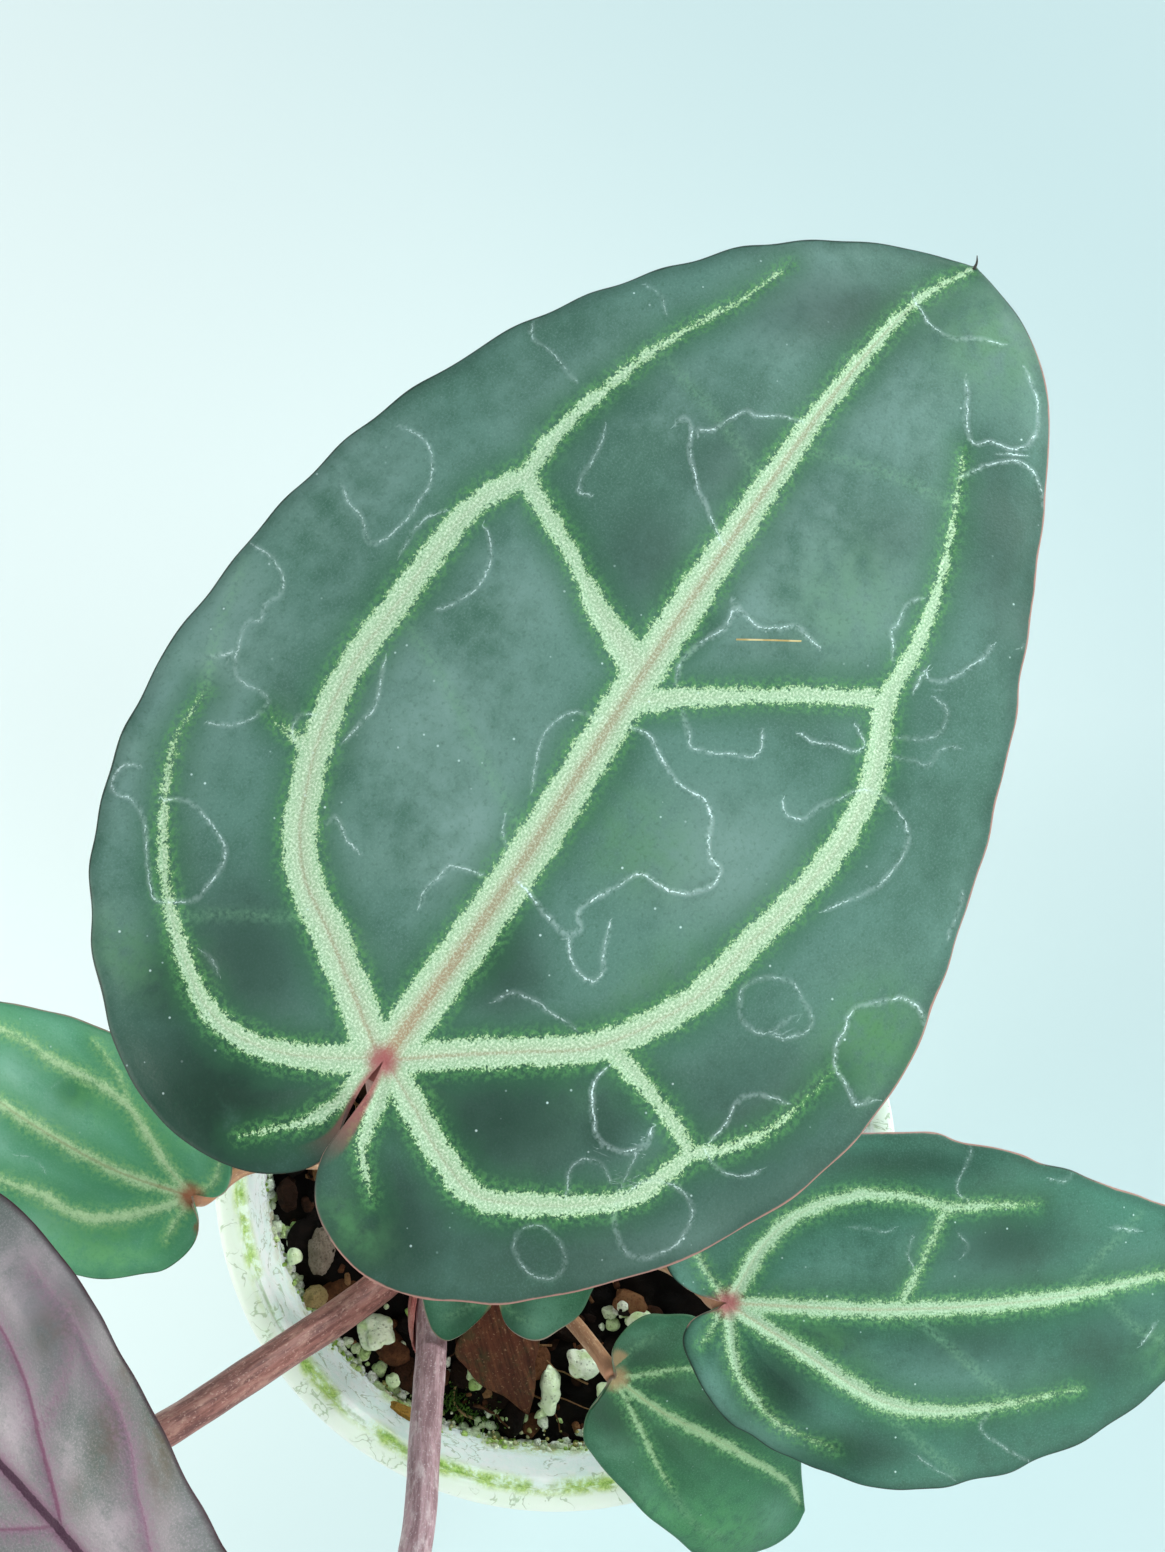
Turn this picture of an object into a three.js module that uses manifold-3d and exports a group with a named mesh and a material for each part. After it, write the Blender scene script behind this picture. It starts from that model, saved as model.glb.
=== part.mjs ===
// A potted velvet-leaved anthurium: a moulded plastic pot, its potting mix with bark and perlite,
// a short crown that stands in the mix, and seven heart-shaped leaves on their stalks.
// Millimetres, +Z up. The origin is the middle of the pot's flat underside.

import * as THREE from "three";
import { mergeVertices } from "three/addons/utils/BufferGeometryUtils.js";
import Module from "manifold-3d";

const wasm = await Module();
wasm.setup();

// The clearance between pieces that touch
const CLEARANCE = 0.3;

// Pot
const POT_HEIGHT = 115;
const RIM_RADIUS = 65;
const RIM_INNER_RADIUS = 60.7;
const COLLAR_HEIGHT = 14;
const FOOT_RADIUS = 45;
const WALL = 2;
const FLOOR = 2.6;
const WALL_TAPER = 0.145;
const POT_SIDES = 48;
const DRAIN_HOLES = 5;
const DRAIN_RING = 27;
const DRAIN_RADIUS = 4.5;

// Potting mix
const MIX_TOP = 97;
const MIX_SIDES = 40;
const MIX_RINGS = 9;
const MIX_LUMPS = 44;
const MIX_SEED = 7;

// Crown
const CROWN_CENTRE = new THREE.Vector2(-17, -13);
const CROWN_RADIUS = 13.5;
const CROWN_BOTTOM = 84;
const CROWN_TOP = 106;

// Leaves
const BLADE = 0.8;
const KEEL = 1.0;
const BLADE_RINGS = [0, 0.06, 0.3, 0.55, 0.8, 1];
const STALK_SIDES = 8;
const STALK_STEPS = 14;

// Each leaf has its own plane: u runs from the stalk towards the tip, v to its left, seen from above.
// left and right are the edge of each half, from the notch at the stalk round the lobe to the tip.
const LEAVES = [
  {
    name: "a",
    junction: [-23, 35, 225],
    tip: [66, 154, 197],
    arch: 7,
    fold: 0.06,
    curl: 0.0022,
    lap: 1.3,
    wave: 1.3,
    rays: 34,
    midrib: [[0, 0], [30, 0.8], [60, 3], [90, 4.8], [120, 5.6], [140, 4], [151, 0]],
    left: [[-7, 0.6], [-16, -1.6], [-22.5, 4], [-25.4, 14], [-23.5, 26], [-13.6, 40.4], [3.8, 53.6],
      [28.5, 60.7], [54, 60.3], [81.7, 55], [106.3, 45.1], [130.4, 28.6], [143.7, 13.7], [151, 0]],
    right: [[-5, -2], [-10, -1.2], [-16, -1.2], [-22, -5], [-25.3, -14], [-23.7, -23], [-13, -38.5],
      [7, -53.6], [35, -61.7], [63, -56.6], [96.5, -43.2], [126, -29.4], [140.5, -20], [147.4, -10.7],
      [151, 0]],
    stalk: { foot: 95, radius: 3.1, via: [[-22.5, 3, 138], [-24.5, 18, 185]] },
  },
  {
    name: "b",
    junction: [29, -11, 175],
    tip: [127, -9.5, 150],
    arch: 5,
    fold: 0.08,
    curl: 0.003,
    lap: 0,
    wave: 1,
    rays: 26,
    midrib: [[0, 0], [28, -2.2], [57, -2], [80, 0.3], [101, 0]],
    left: [[-1.5, 0.5], [-6.7, 2.7], [-9.8, 6], [-10.3, 11], [-6, 19], [5.6, 25], [23.7, 27.2], [42, 24.8],
      [67.4, 15.8], [88, 7.5], [101, 0]],
    right: [[-1.5, -0.8], [-6, -2.6], [-7.6, -5.5], [-6.3, -10], [-2.7, -16.3], [7.4, -24.3], [26, -31.6],
      [46, -31], [67.4, -23], [86, -12], [101, 0]],
    stalk: { foot: 25, radius: 2.3, via: [[-2, -9.2, 113.5], [10, -10, 130], [21, -9.5, 151]] },
  },
  {
    name: "c",
    junction: [-61.6, 3.7, 160],
    tip: [-125.5, 32.3, 143],
    arch: 4,
    fold: 0.08,
    curl: 0.003,
    lap: 0,
    wave: 0.8,
    rays: 22,
    midrib: [[0, 0], [13, 1.4], [30, 0.6], [50, -1.5], [72, 0]],
    left: [[-0.8, 0.8], [-3.7, 3.7], [-3.9, 7.5], [0, 14.3], [9, 19.2], [20, 21.4], [36, 20], [52, 13.5],
      [64, 6], [72, 0]],
    right: [[-0.8, -0.9], [-4, -1.7], [-5.4, -4.5], [-3, -11], [6, -17.6], [20, -20], [34, -18.4],
      [50, -14], [63, -7], [72, 0]],
    stalk: { foot: 145, radius: 1.8, via: [[-28, -2, 120], [-41, 6.6, 141], [-54, 7, 149.5]] },
  },
  {
    name: "d",
    junction: [11.4, -32.8, 140],
    tip: [49, -69, 101],
    arch: 5,
    fold: 0.05,
    curl: 0.004,
    lap: 0,
    wave: 0.6,
    rays: 20,
    midrib: [[0, 0], [11, 0.4], [21, 1.9], [30, 3], [42, 3.6], [52, 3.2], [65.2, 0]],
    left: [[-0.8, 0.6], [-5.6, 4], [-5.9, 8], [-3.9, 12], [2.7, 17.7], [16, 20.5], [32, 17.5], [44, 11.5],
      [54, 5.5], [65.2, 0]],
    right: [[-0.8, -0.8], [0, -4.1], [0, -8], [2.9, -11.7], [8.2, -13.7], [22.4, -15.8], [35.2, -17],
      [46, -18], [57, -16], [64.5, -11], [67.4, -5], [65.2, 0]],
    stalk: { foot: 335, radius: 1.6, via: [[-4, -20.5, 117], [2.5, -25, 125]] },
  },
  {
    name: "e",
    junction: [-93, -45, 200],
    tip: [-150, -86, 150],
    arch: 6,
    fold: 0.08,
    curl: 0.004,
    lap: 0,
    wave: 1,
    rays: 22,
    midrib: [[0, 0], [40, 1], [86.2, 0]],
    left: [[-1.5, 0.8], [-9, 4], [-13, 11], [-9, 21], [6, 30], [26, 32], [48, 26.5], [70, 13.5], [86.2, 0]],
    right: [[-1.5, -0.8], [-9, -4], [-13, -11], [-9, -21], [6, -30], [26, -32], [48, -26.5], [70, -13.5],
      [86.2, 0]],
    stalk: { foot: 190, radius: 3.25, via: [[-32.4, -19.2, 125], [-54.3, -29.8, 152], [-66, -35, 166]] },
  },
  {
    name: "f",
    junction: [-46, -44, 250],
    tip: [-131, 6, 175],
    arch: 5,
    fold: 0.06,
    curl: 0.0025,
    lap: 0,
    wave: 1.2,
    rays: 26,
    midrib: [[0, 0], [26, -2.8], [44, -3.7], [80, -3], [124, 0]],
    left: [[-2, 1], [-11, 2.5], [-18, 8], [-17, 17], [-5, 25], [14, 30.5], [38, 34], [64, 33], [90, 23.5],
      [110, 10.5], [124, 0]],
    right: [[-2, -1], [-11, -2.5], [-18, -7], [-17, -14], [-7, -18], [7.5, -17], [23, -23.8], [43.6, -29],
      [70, -32], [94, -24], [112, -11], [124, 0]],
    stalk: {
      foot: 245,
      radius: 2.8,
      via: [[-23.2, -22.8, 121], [-22, -27.2, 138], [-21.3, -35, 163], [-21, -45.5, 188], [-24, -54, 208]],
    },
  },
  {
    name: "g",
    junction: [-10, -16, 145],
    tip: [6, 36, 150],
    arch: 2,
    fold: 0.08,
    curl: 0.004,
    lap: 0,
    wave: 0.5,
    rays: 18,
    midrib: [[0, 0], [25, 0.6], [54.6, 0]],
    left: [[-3, 0.2], [-6.8, 2], [-10, 4], [-11.6, 6], [-10.8, 8.5], [-8.4, 10.8], [-5.4, 12.2], [4, 14],
      [18, 14], [36, 9], [54.6, 0]],
    right: [[-2.8, -1.5], [-5.1, -3.1], [-6.4, -5.7], [-6.2, -9.4], [-1.9, -14], [4.4, -16], [14, -17],
      [28, -14.5], [42, -8], [54.6, 0]],
    stalk: { foot: null, radius: 1.6, via: [[-14, -14.5, 124]] },
  },
];

// Loose pieces on the mix: where each lies, its size along x, y and z, and its turn about +Z in degrees
const BARK = [
  { at: [-53, -7.6], size: [5, 7.5, 5], turn: 10 },
  { at: [-46.2, -18], size: [6, 11.4, 4.5], turn: -8 },
  { at: [-47.6, -27.4], size: [6.2, 5.4, 5], turn: 20 },
];
const PERLITE = [
  { at: [-51.8, -19.6], size: [3.8, 4, 3.6], turn: 0 },
  { at: [-35.4, -34.3], size: [8.4, 8, 6], turn: 15 },
  { at: [-32.2, -44], size: [3.2, 3.2, 3], turn: 0 },
  { at: [-1.2, -45.2], size: [4.6, 10.8, 4.2], turn: 4 },
  { at: [5.2, -40.6], size: [6.4, 7, 5], turn: 35 },
  { at: [9.4, -46], size: [3.2, 4.2, 3.4], turn: 0 },
  { at: [16.5, -31.7], size: [6, 4.4, 4], turn: 12 },
];
const HIDDEN_BARK = 9;
const HIDDEN_BARK_SEED = 31;

const DRY_SHEATH = {
  junction: [-12.2, -26, 103.6],
  tip: [-5.4, -51, 98.2],
  arch: 2.4,
  fold: 0,
  curl: 0.012,
  lap: 0,
  wave: 0.4,
  rays: 10,
  midrib: [[0, 0], [26.5, 0]],
  left: [[0, 0.8], [4, 4.6], [9, 6.4], [15, 4.6], [21, 2.4], [26.5, 0]],
  right: [[0, -0.8], [4, -6], [8.5, -10], [14, -8.8], [20, -4.4], [26.5, 0]],
};

const YOUNG_SHEATH = { length: 0.2, thickness: 0.7, facing: 215, spread: 230, tipSpread: 70 };

// Colours
const COLOURS = {
  pot: 0xd9dfd2,
  mix: 0x2b2019,
  crown: 0x5e4a34,
  blade: 0x2f6653,
  youngBlade: 0x8f8d92,
  stalk: 0x96705e,
  redStalk: 0x8a5650,
  youngStalk: 0x9d8c93,
  bark: 0x6e4a2e,
  perlite: 0xd6dcb4,
  drySheath: 0x5a3f24,
  youngSheath: 0xc47a76,
};

// A small repeatable random source
function randomFrom(seed) {
  let state = seed;
  return () => {
    state = (state + 0x6d2b79f5) | 0;
    let t = Math.imul(state ^ (state >>> 15), 1 | state);
    t = (t + Math.imul(t ^ (t >>> 7), 61 | t)) ^ t;
    return ((t ^ (t >>> 14)) >>> 0) / 4294967296;
  };
}

function smooth(value) {
  const t = THREE.MathUtils.clamp(value, 0, 1);
  return t * t * (3 - 2 * t);
}

function bareGeometry(vertices, faces) {
  const geometry = new THREE.BufferGeometry();
  const numbers = vertices.flatMap((p) => [p.x, p.y, p.z]);
  geometry.setAttribute("position", new THREE.Float32BufferAttribute(numbers, 3));
  geometry.setIndex(faces.flat());
  return geometry;
}

function signedVolume(vertices, faces) {
  const cross = new THREE.Vector3();
  return faces.reduce(
    (sum, [a, b, c]) => sum + cross.crossVectors(vertices[b], vertices[c]).dot(vertices[a]) / 6,
    0,
  );
}

// A closed body from a list of vertices and faces, turned so that its faces point out
function closedBody(vertices, faces) {
  const outward = signedVolume(vertices, faces) > 0;
  return bareGeometry(vertices, outward ? faces : faces.map(([a, b, c]) => [a, c, b]));
}

// Joins and cuts of closed bodies
function asSolid(geometry) {
  const bare = geometry.clone();
  bare.deleteAttribute("normal");
  bare.deleteAttribute("uv");
  const merged = mergeVertices(bare, 1e-4);
  return new wasm.Manifold(
    new wasm.Mesh({
      numProp: 3,
      vertProperties: merged.attributes.position.array,
      triVerts: new Uint32Array(merged.index.array),
    }),
  );
}

function asGeometry(solid) {
  const mesh = solid.getMesh();
  const geometry = new THREE.BufferGeometry();
  geometry.setAttribute("position", new THREE.BufferAttribute(mesh.vertProperties, 3));
  geometry.setIndex(new THREE.BufferAttribute(mesh.triVerts, 1));
  return geometry;
}

// A round body about +Z from [radius, height] pairs that start and end on the axis
function turned(profile, sides) {
  const points = profile.map(([r, z]) => new THREE.Vector2(r, z));
  return new THREE.LatheGeometry(points, sides).rotateX(Math.PI / 2);
}

function uprightCylinder(radius, bottom, top, x, y, sides) {
  const geometry = new THREE.CylinderGeometry(radius, radius, top - bottom, sides);
  return geometry.rotateX(Math.PI / 2).translate(x, y, (bottom + top) / 2);
}

// The inside of the pot's wall at a height
function innerRadius(z) {
  return RIM_INNER_RADIUS - 0.8 - WALL_TAPER * (POT_HEIGHT - z);
}

function potGeometry() {
  const collarBottom = POT_HEIGHT - COLLAR_HEIGHT;
  const wallTop = innerRadius(collarBottom) + WALL;
  const profile = [
    [0, 0],
    [FOOT_RADIUS - 1.2, 0],
    [innerRadius(0) + WALL, 1.6],
    [wallTop, collarBottom],
    [RIM_RADIUS - 1.2, collarBottom + 0.6],
    [RIM_RADIUS - 0.5, collarBottom + 1.6],
    [RIM_RADIUS, POT_HEIGHT - 1.4],
    [RIM_RADIUS - 0.6, POT_HEIGHT - 0.3],
    [RIM_RADIUS - 1.4, POT_HEIGHT],
    [RIM_INNER_RADIUS + 0.5, POT_HEIGHT],
    [RIM_INNER_RADIUS, POT_HEIGHT - 0.5],
    [RIM_INNER_RADIUS, POT_HEIGHT - 2.4],
    [innerRadius(POT_HEIGHT - 3.2), POT_HEIGHT - 3.2],
    [innerRadius(FLOOR + 2), FLOOR + 2],
    [innerRadius(FLOOR + 2) - 2, FLOOR],
    [0, FLOOR],
  ];
  let pot = asSolid(turned(profile, POT_SIDES));
  for (let i = 0; i < DRAIN_HOLES; i++) {
    const angle = (2 * Math.PI * i) / DRAIN_HOLES;
    const x = DRAIN_RING * Math.cos(angle);
    const y = DRAIN_RING * Math.sin(angle);
    pot = pot.subtract(asSolid(uprightCylinder(DRAIN_RADIUS, -1, FLOOR + 1, x, y, 16)));
  }
  return asGeometry(pot);
}

// The mix is heaped in low lumps, and lies flat under each loose piece
const lumpRandom = randomFrom(MIX_SEED);
const lumps = Array.from({ length: MIX_LUMPS }, () => {
  const angle = 2 * Math.PI * lumpRandom();
  const radius = 54 * Math.sqrt(lumpRandom());
  return {
    x: radius * Math.cos(angle),
    y: radius * Math.sin(angle),
    height: 1 + 2 * lumpRandom(),
    width: 3.5 + 3 * lumpRandom(),
  };
});

const hiddenBark = hiddenBarkPieces();
const seats = [
  ...[...BARK, ...PERLITE, ...hiddenBark].map(({ at, size }) => ({
    x: at[0],
    y: at[1],
    radius: Math.max(size[0], size[1]) / 2 + 5,
  })),
  { x: -9, y: -40, radius: 17 },
];

// Bark that the leaves hide from above, spread over the rest of the mix by the golden angle
function hiddenBarkPieces() {
  const random = randomFrom(HIDDEN_BARK_SEED);
  const pieces = [];
  for (let i = 0; pieces.length < HIDDEN_BARK; i++) {
    const angle = i * 2.39996;
    const radius = 50 * Math.sqrt((i + 0.5) / 16);
    const at = [radius * Math.cos(angle), radius * Math.sin(angle)];
    const size = [9 + 5 * random(), 6 + 3 * random(), 4.5 + 2 * random()];
    const nearCrown = Math.hypot(at[0] - CROWN_CENTRE.x, at[1] - CROWN_CENTRE.y) < 24;
    const inView = at[1] < 4 && at[0] < 22;
    if (!nearCrown && !inView && radius < 50) pieces.push({ at, size, turn: 180 * random() });
  }
  return pieces;
}

function mixHeight(x, y) {
  const raised = lumps.reduce((sum, lump) => {
    const distance = Math.hypot(x - lump.x, y - lump.y) / lump.width;
    return Math.max(sum, lump.height * Math.exp(-distance * distance));
  }, 0);
  const free = seats.reduce((least, seat) => {
    return Math.min(least, smooth((Math.hypot(x - seat.x, y - seat.y) - seat.radius) / 4));
  }, 1);
  return MIX_TOP + raised * free;
}

function mixGeometry() {
  const bottom = FLOOR + CLEARANCE;
  const rimRadius = innerRadius(MIX_TOP) - CLEARANCE;
  const footRadius = innerRadius(FLOOR + 2) - 2 - CLEARANCE;
  const vertices = [new THREE.Vector3(0, 0, mixHeight(0, 0)), new THREE.Vector3(0, 0, bottom)];
  const faces = [];
  const ring = (index, side) => 2 + index * MIX_SIDES + (side % MIX_SIDES);
  for (let i = 1; i <= MIX_RINGS + 1; i++) {
    for (let side = 0; side < MIX_SIDES; side++) {
      const angle = (2 * Math.PI * side) / MIX_SIDES;
      const radius = i > MIX_RINGS ? footRadius : (rimRadius * i) / MIX_RINGS;
      const x = radius * Math.cos(angle);
      const y = radius * Math.sin(angle);
      const top = i === MIX_RINGS ? MIX_TOP : mixHeight(x, y);
      vertices.push(new THREE.Vector3(x, y, i > MIX_RINGS ? bottom : top));
    }
  }
  for (let side = 0; side < MIX_SIDES; side++) {
    faces.push([0, ring(0, side), ring(0, side + 1)]);
    faces.push([1, ring(MIX_RINGS, side + 1), ring(MIX_RINGS, side)]);
    for (let i = 0; i < MIX_RINGS; i++) {
      faces.push([ring(i, side), ring(i + 1, side), ring(i + 1, side + 1)]);
      faces.push([ring(i, side), ring(i + 1, side + 1), ring(i, side + 1)]);
    }
  }
  const { x, y } = CROWN_CENTRE;
  const hole = uprightCylinder(CROWN_RADIUS + CLEARANCE, CROWN_BOTTOM - CLEARANCE, MIX_TOP + 20, x, y, 24);
  return asGeometry(asSolid(closedBody(vertices, faces)).subtract(asSolid(hole)));
}

// A short thick stem, flat on top where the stalks stand
function crownGeometry() {
  const profile = [
    [0, CROWN_BOTTOM],
    [CROWN_RADIUS - 2, CROWN_BOTTOM],
    [CROWN_RADIUS - 0.4, CROWN_BOTTOM + 3],
    [CROWN_RADIUS - 0.6, 97],
    [CROWN_RADIUS, 101],
    [CROWN_RADIUS - 0.2, CROWN_TOP - 0.6],
    [CROWN_RADIUS - 0.6, CROWN_TOP],
    [0, CROWN_TOP],
  ];
  return turned(profile, 24).translate(CROWN_CENTRE.x, CROWN_CENTRE.y, 0);
}

// A leaf's own plane in space
function leafPlane(leaf) {
  const origin = new THREE.Vector3(...leaf.junction);
  const u = new THREE.Vector3(...leaf.tip).sub(origin);
  const length = u.length();
  u.normalize();
  const v = new THREE.Vector3(0, 0, 1).cross(u).normalize();
  return { origin, u, v, n: u.clone().cross(v), length };
}

// How far the blade stands off its plane: an arch to the tip, a shallow fold along the midrib, edges
// that curl down, waves that grow towards the edge, and the two lobes lapped one over the other
function bladeHeight(leaf, length, u, v, side, reach, along) {
  const arch = leaf.arch * Math.sin(Math.PI * THREE.MathUtils.clamp(u / length, -0.3, 1.1));
  const section = leaf.fold * Math.abs(v) - leaf.curl * v * v;
  const wave = leaf.wave * reach ** 3 * Math.sin(2 * Math.PI * 3.5 * along + side) * (1 - along ** 4);
  const lap = -side * leaf.lap * smooth((-u - 3) / 8) * Math.exp(-((v / 9) ** 2));
  return arch + section + wave + lap;
}

function curveThrough(pairs) {
  const points = pairs.map(([u, v]) => new THREE.Vector3(u, v, 0));
  return new THREE.CatmullRomCurve3(points, false, "centripetal");
}

// Rays fan out from the junction over the lobe, then leave the midrib one after another to the tip
const NOTCH_END = 0.08;
const LOBE_END = 0.4;
function rayRoot(notch, midrib, along) {
  if (along < NOTCH_END) return notch.clone().multiplyScalar(1 - along / NOTCH_END);
  if (along <= LOBE_END) return new THREE.Vector3();
  return midrib.getPointAt(((along - LOBE_END) / (1 - LOBE_END)) ** 1.3);
}

// The upper face of a blade, as points, triangles and how far the lower face lies under each point
function bladeSheet(leaf) {
  const plane = leafPlane(leaf);
  const points = [];
  const depths = [];
  const triangles = [];
  const known = new Map();
  const place = (at, side, reach, along) => {
    const key = `${at.x.toFixed(3)} ${at.y.toFixed(3)}`;
    if (known.has(key)) return known.get(key);
    const height = bladeHeight(leaf, plane.length, at.x, at.y, side, reach, along);
    const point = plane.origin.clone();
    point.addScaledVector(plane.u, at.x).addScaledVector(plane.v, at.y).addScaledVector(plane.n, height);
    points.push(point);
    depths.push(BLADE + (reach === 0 && along > NOTCH_END ? KEEL * (1 - along) : 0));
    known.set(key, points.length - 1);
    return points.length - 1;
  };
  const midrib = curveThrough(leaf.midrib);
  for (const side of [1, -1]) {
    const outline = side > 0 ? leaf.left : leaf.right;
    const edge = curveThrough(outline).getSpacedPoints(leaf.rays);
    const rows = edge.map((end, i) => {
      const along = i / leaf.rays;
      const root = rayRoot(edge[0], midrib, along);
      return BLADE_RINGS.map((reach) => place(root.clone().lerp(end, reach), side, reach, along));
    });
    for (let i = 0; i < leaf.rays; i++) {
      for (let j = 0; j + 1 < BLADE_RINGS.length; j++) {
        const [a, b, c, d] = [rows[i][j], rows[i][j + 1], rows[i + 1][j + 1], rows[i + 1][j]];
        for (const face of [[a, b, c], [a, c, d]]) {
          if (new Set(face).size === 3) triangles.push(side > 0 ? [face[0], face[2], face[1]] : face);
        }
      }
    }
  }
  return { points, triangles, under: depths.map((depth) => plane.n.clone().multiplyScalar(-depth)) };
}

// Closes a sheet into a body: the same triangles on its other face, and a wall round its edge
function thicken({ points, triangles, under }) {
  const count = points.length;
  const vertices = [...points, ...points.map((point, i) => point.clone().add(under[i]))];
  const faces = [];
  const edges = new Map();
  for (const [a, b, c] of triangles) {
    faces.push([a, b, c], [a + count, c + count, b + count]);
    for (const edge of [[a, b], [b, c], [c, a]]) edges.set(edge.join(" "), edge);
  }
  for (const [start, end] of edges.values()) {
    if (edges.has(`${end} ${start}`)) continue;
    faces.push([end, start, start + count], [end, start + count, end + count]);
  }
  return closedBody(vertices, faces);
}

// The line of a leaf's stalk, from the crown to just under the blade
function stalkLine(leaf) {
  const { origin, n } = leafPlane(leaf);
  const angle = THREE.MathUtils.degToRad(leaf.stalk.foot ?? 0);
  const ring = leaf.stalk.foot === null ? 0 : 9.6;
  const x = CROWN_CENTRE.x + ring * Math.cos(angle);
  const y = CROWN_CENTRE.y + ring * Math.sin(angle);
  const floor = CROWN_TOP + CLEARANCE;
  return new THREE.CatmullRomCurve3(
    [
      new THREE.Vector3(x, y, floor),
      new THREE.Vector3(x, y, floor + 3),
      ...leaf.stalk.via.map((point) => new THREE.Vector3(...point)),
      origin.clone().addScaledVector(n, -8),
      origin.clone().addScaledVector(n, -(BLADE + KEEL + CLEARANCE)),
    ],
    false,
    "centripetal",
  );
}

// A stalk is a little thicker at its foot and at the knee under the blade
function stalkRadius(radius, along) {
  const foot = 0.12 * (1 - smooth(along / 0.12));
  const knee = 0.16 * smooth((along - 0.9) / 0.05);
  return radius * (1.02 - 0.14 * along + foot + knee);
}

function stalkGeometry(leaf) {
  const line = stalkLine(leaf);
  const frames = line.computeFrenetFrames(STALK_STEPS, false);
  const vertices = [];
  const faces = [];
  for (let i = 0; i <= STALK_STEPS; i++) {
    const centre = line.getPointAt(i / STALK_STEPS);
    const radius = stalkRadius(leaf.stalk.radius, i / STALK_STEPS);
    for (let side = 0; side < STALK_SIDES; side++) {
      const angle = (2 * Math.PI * side) / STALK_SIDES;
      const point = centre.clone().addScaledVector(frames.normals[i], radius * Math.cos(angle));
      vertices.push(point.addScaledVector(frames.binormals[i], radius * Math.sin(angle)));
    }
  }
  const at = (step, side) => step * STALK_SIDES + (side % STALK_SIDES);
  for (let side = 0; side < STALK_SIDES; side++) {
    for (let i = 0; i < STALK_STEPS; i++) {
      faces.push([at(i, side), at(i, side + 1), at(i + 1, side + 1)]);
      faces.push([at(i, side), at(i + 1, side + 1), at(i + 1, side)]);
    }
    if (side > 0 && side + 1 < STALK_SIDES) {
      faces.push([at(0, 0), at(0, side + 1), at(0, side)]);
      faces.push([at(STALK_STEPS, 0), at(STALK_STEPS, side), at(STALK_STEPS, side + 1)]);
    }
  }
  return closedBody(vertices, faces);
}

// The sheath that the newest leaf came out of, open on one side, round the foot of that leaf's stalk
function youngSheathSheet(leaf) {
  const line = stalkLine(leaf);
  const rows = 5;
  const columns = 8;
  const points = [];
  const under = [];
  const triangles = [];
  for (let i = 0; i <= rows; i++) {
    const along = (YOUNG_SHEATH.length * i) / rows;
    const centre = line.getPointAt(along);
    const radius = stalkRadius(leaf.stalk.radius, along) + 1.6 * CLEARANCE;
    const spread = THREE.MathUtils.lerp(YOUNG_SHEATH.spread, YOUNG_SHEATH.tipSpread, (i / rows) ** 2);
    for (let j = 0; j <= columns; j++) {
      const angle = THREE.MathUtils.degToRad(YOUNG_SHEATH.facing + spread * (j / columns - 0.5));
      const outward = new THREE.Vector3(Math.cos(angle), Math.sin(angle), 0);
      points.push(centre.clone().addScaledVector(outward, radius));
      under.push(outward.multiplyScalar(YOUNG_SHEATH.thickness));
    }
  }
  for (let i = 0; i < rows; i++) {
    for (let j = 0; j < columns; j++) {
      const a = i * (columns + 1) + j;
      const b = a + columns + 1;
      triangles.push([a, b, b + 1], [a, b + 1, a + 1]);
    }
  }
  return { points, triangles, under };
}

// A rough lump, flat underneath where it lies on the mix
function lumpGeometry({ at, size, turn }, seed, roughness) {
  const random = randomFrom(seed);
  const ball = new THREE.IcosahedronGeometry(1, 1);
  ball.deleteAttribute("normal");
  ball.deleteAttribute("uv");
  const geometry = mergeVertices(ball, 1e-3);
  const position = geometry.getAttribute("position");
  for (let i = 0; i < position.count; i++) {
    const grow = 1 - roughness * random();
    const x = (position.getX(i) * grow * size[0]) / 2;
    const y = (position.getY(i) * grow * size[1]) / 2;
    const z = Math.max(position.getZ(i) * grow, -0.62) * (size[2] / 2);
    position.setXYZ(i, x, y, z);
  }
  const bottom = MIX_TOP + CLEARANCE + 0.62 * (size[2] / 2);
  return geometry.rotateZ(THREE.MathUtils.degToRad(turn)).translate(at[0], at[1], bottom);
}

const plant = new THREE.Group();

function add(name, geometry, colour, roughness) {
  const material = new THREE.MeshStandardMaterial({ color: colour, roughness, metalness: 0 });
  const mesh = new THREE.Mesh(geometry, material);
  mesh.name = name;
  plant.add(mesh);
}

const STALK_COLOURS = { b: COLOURS.stalk, c: COLOURS.stalk, d: COLOURS.stalk, f: COLOURS.youngStalk };

add("pot", potGeometry(), COLOURS.pot, 0.55);
add("potting_mix", mixGeometry(), COLOURS.mix, 0.95);
add("crown", crownGeometry(), COLOURS.crown, 0.9);
for (const leaf of LEAVES) {
  const bladeColour = leaf.name === "f" ? COLOURS.youngBlade : COLOURS.blade;
  add(`blade_${leaf.name}`, thicken(bladeSheet(leaf)), bladeColour, 0.6);
  add(`stalk_${leaf.name}`, stalkGeometry(leaf), STALK_COLOURS[leaf.name] ?? COLOURS.redStalk, 0.5);
}
const newestLeaf = LEAVES.find((leaf) => leaf.name === "f");
add("sheath_young", thicken(youngSheathSheet(newestLeaf)), COLOURS.youngSheath, 0.5);
add("sheath_dry", thicken(bladeSheet(DRY_SHEATH)), COLOURS.drySheath, 0.8);
[...BARK, ...hiddenBark].forEach((piece, i) => {
  add(`bark_${i + 1}`, lumpGeometry(piece, 100 + i, 0.3), COLOURS.bark, 0.9);
});
PERLITE.forEach((piece, i) => {
  add(`perlite_${i + 1}`, lumpGeometry(piece, 200 + i, 0.2), COLOURS.perlite, 0.9);
});

export default plant;
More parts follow.
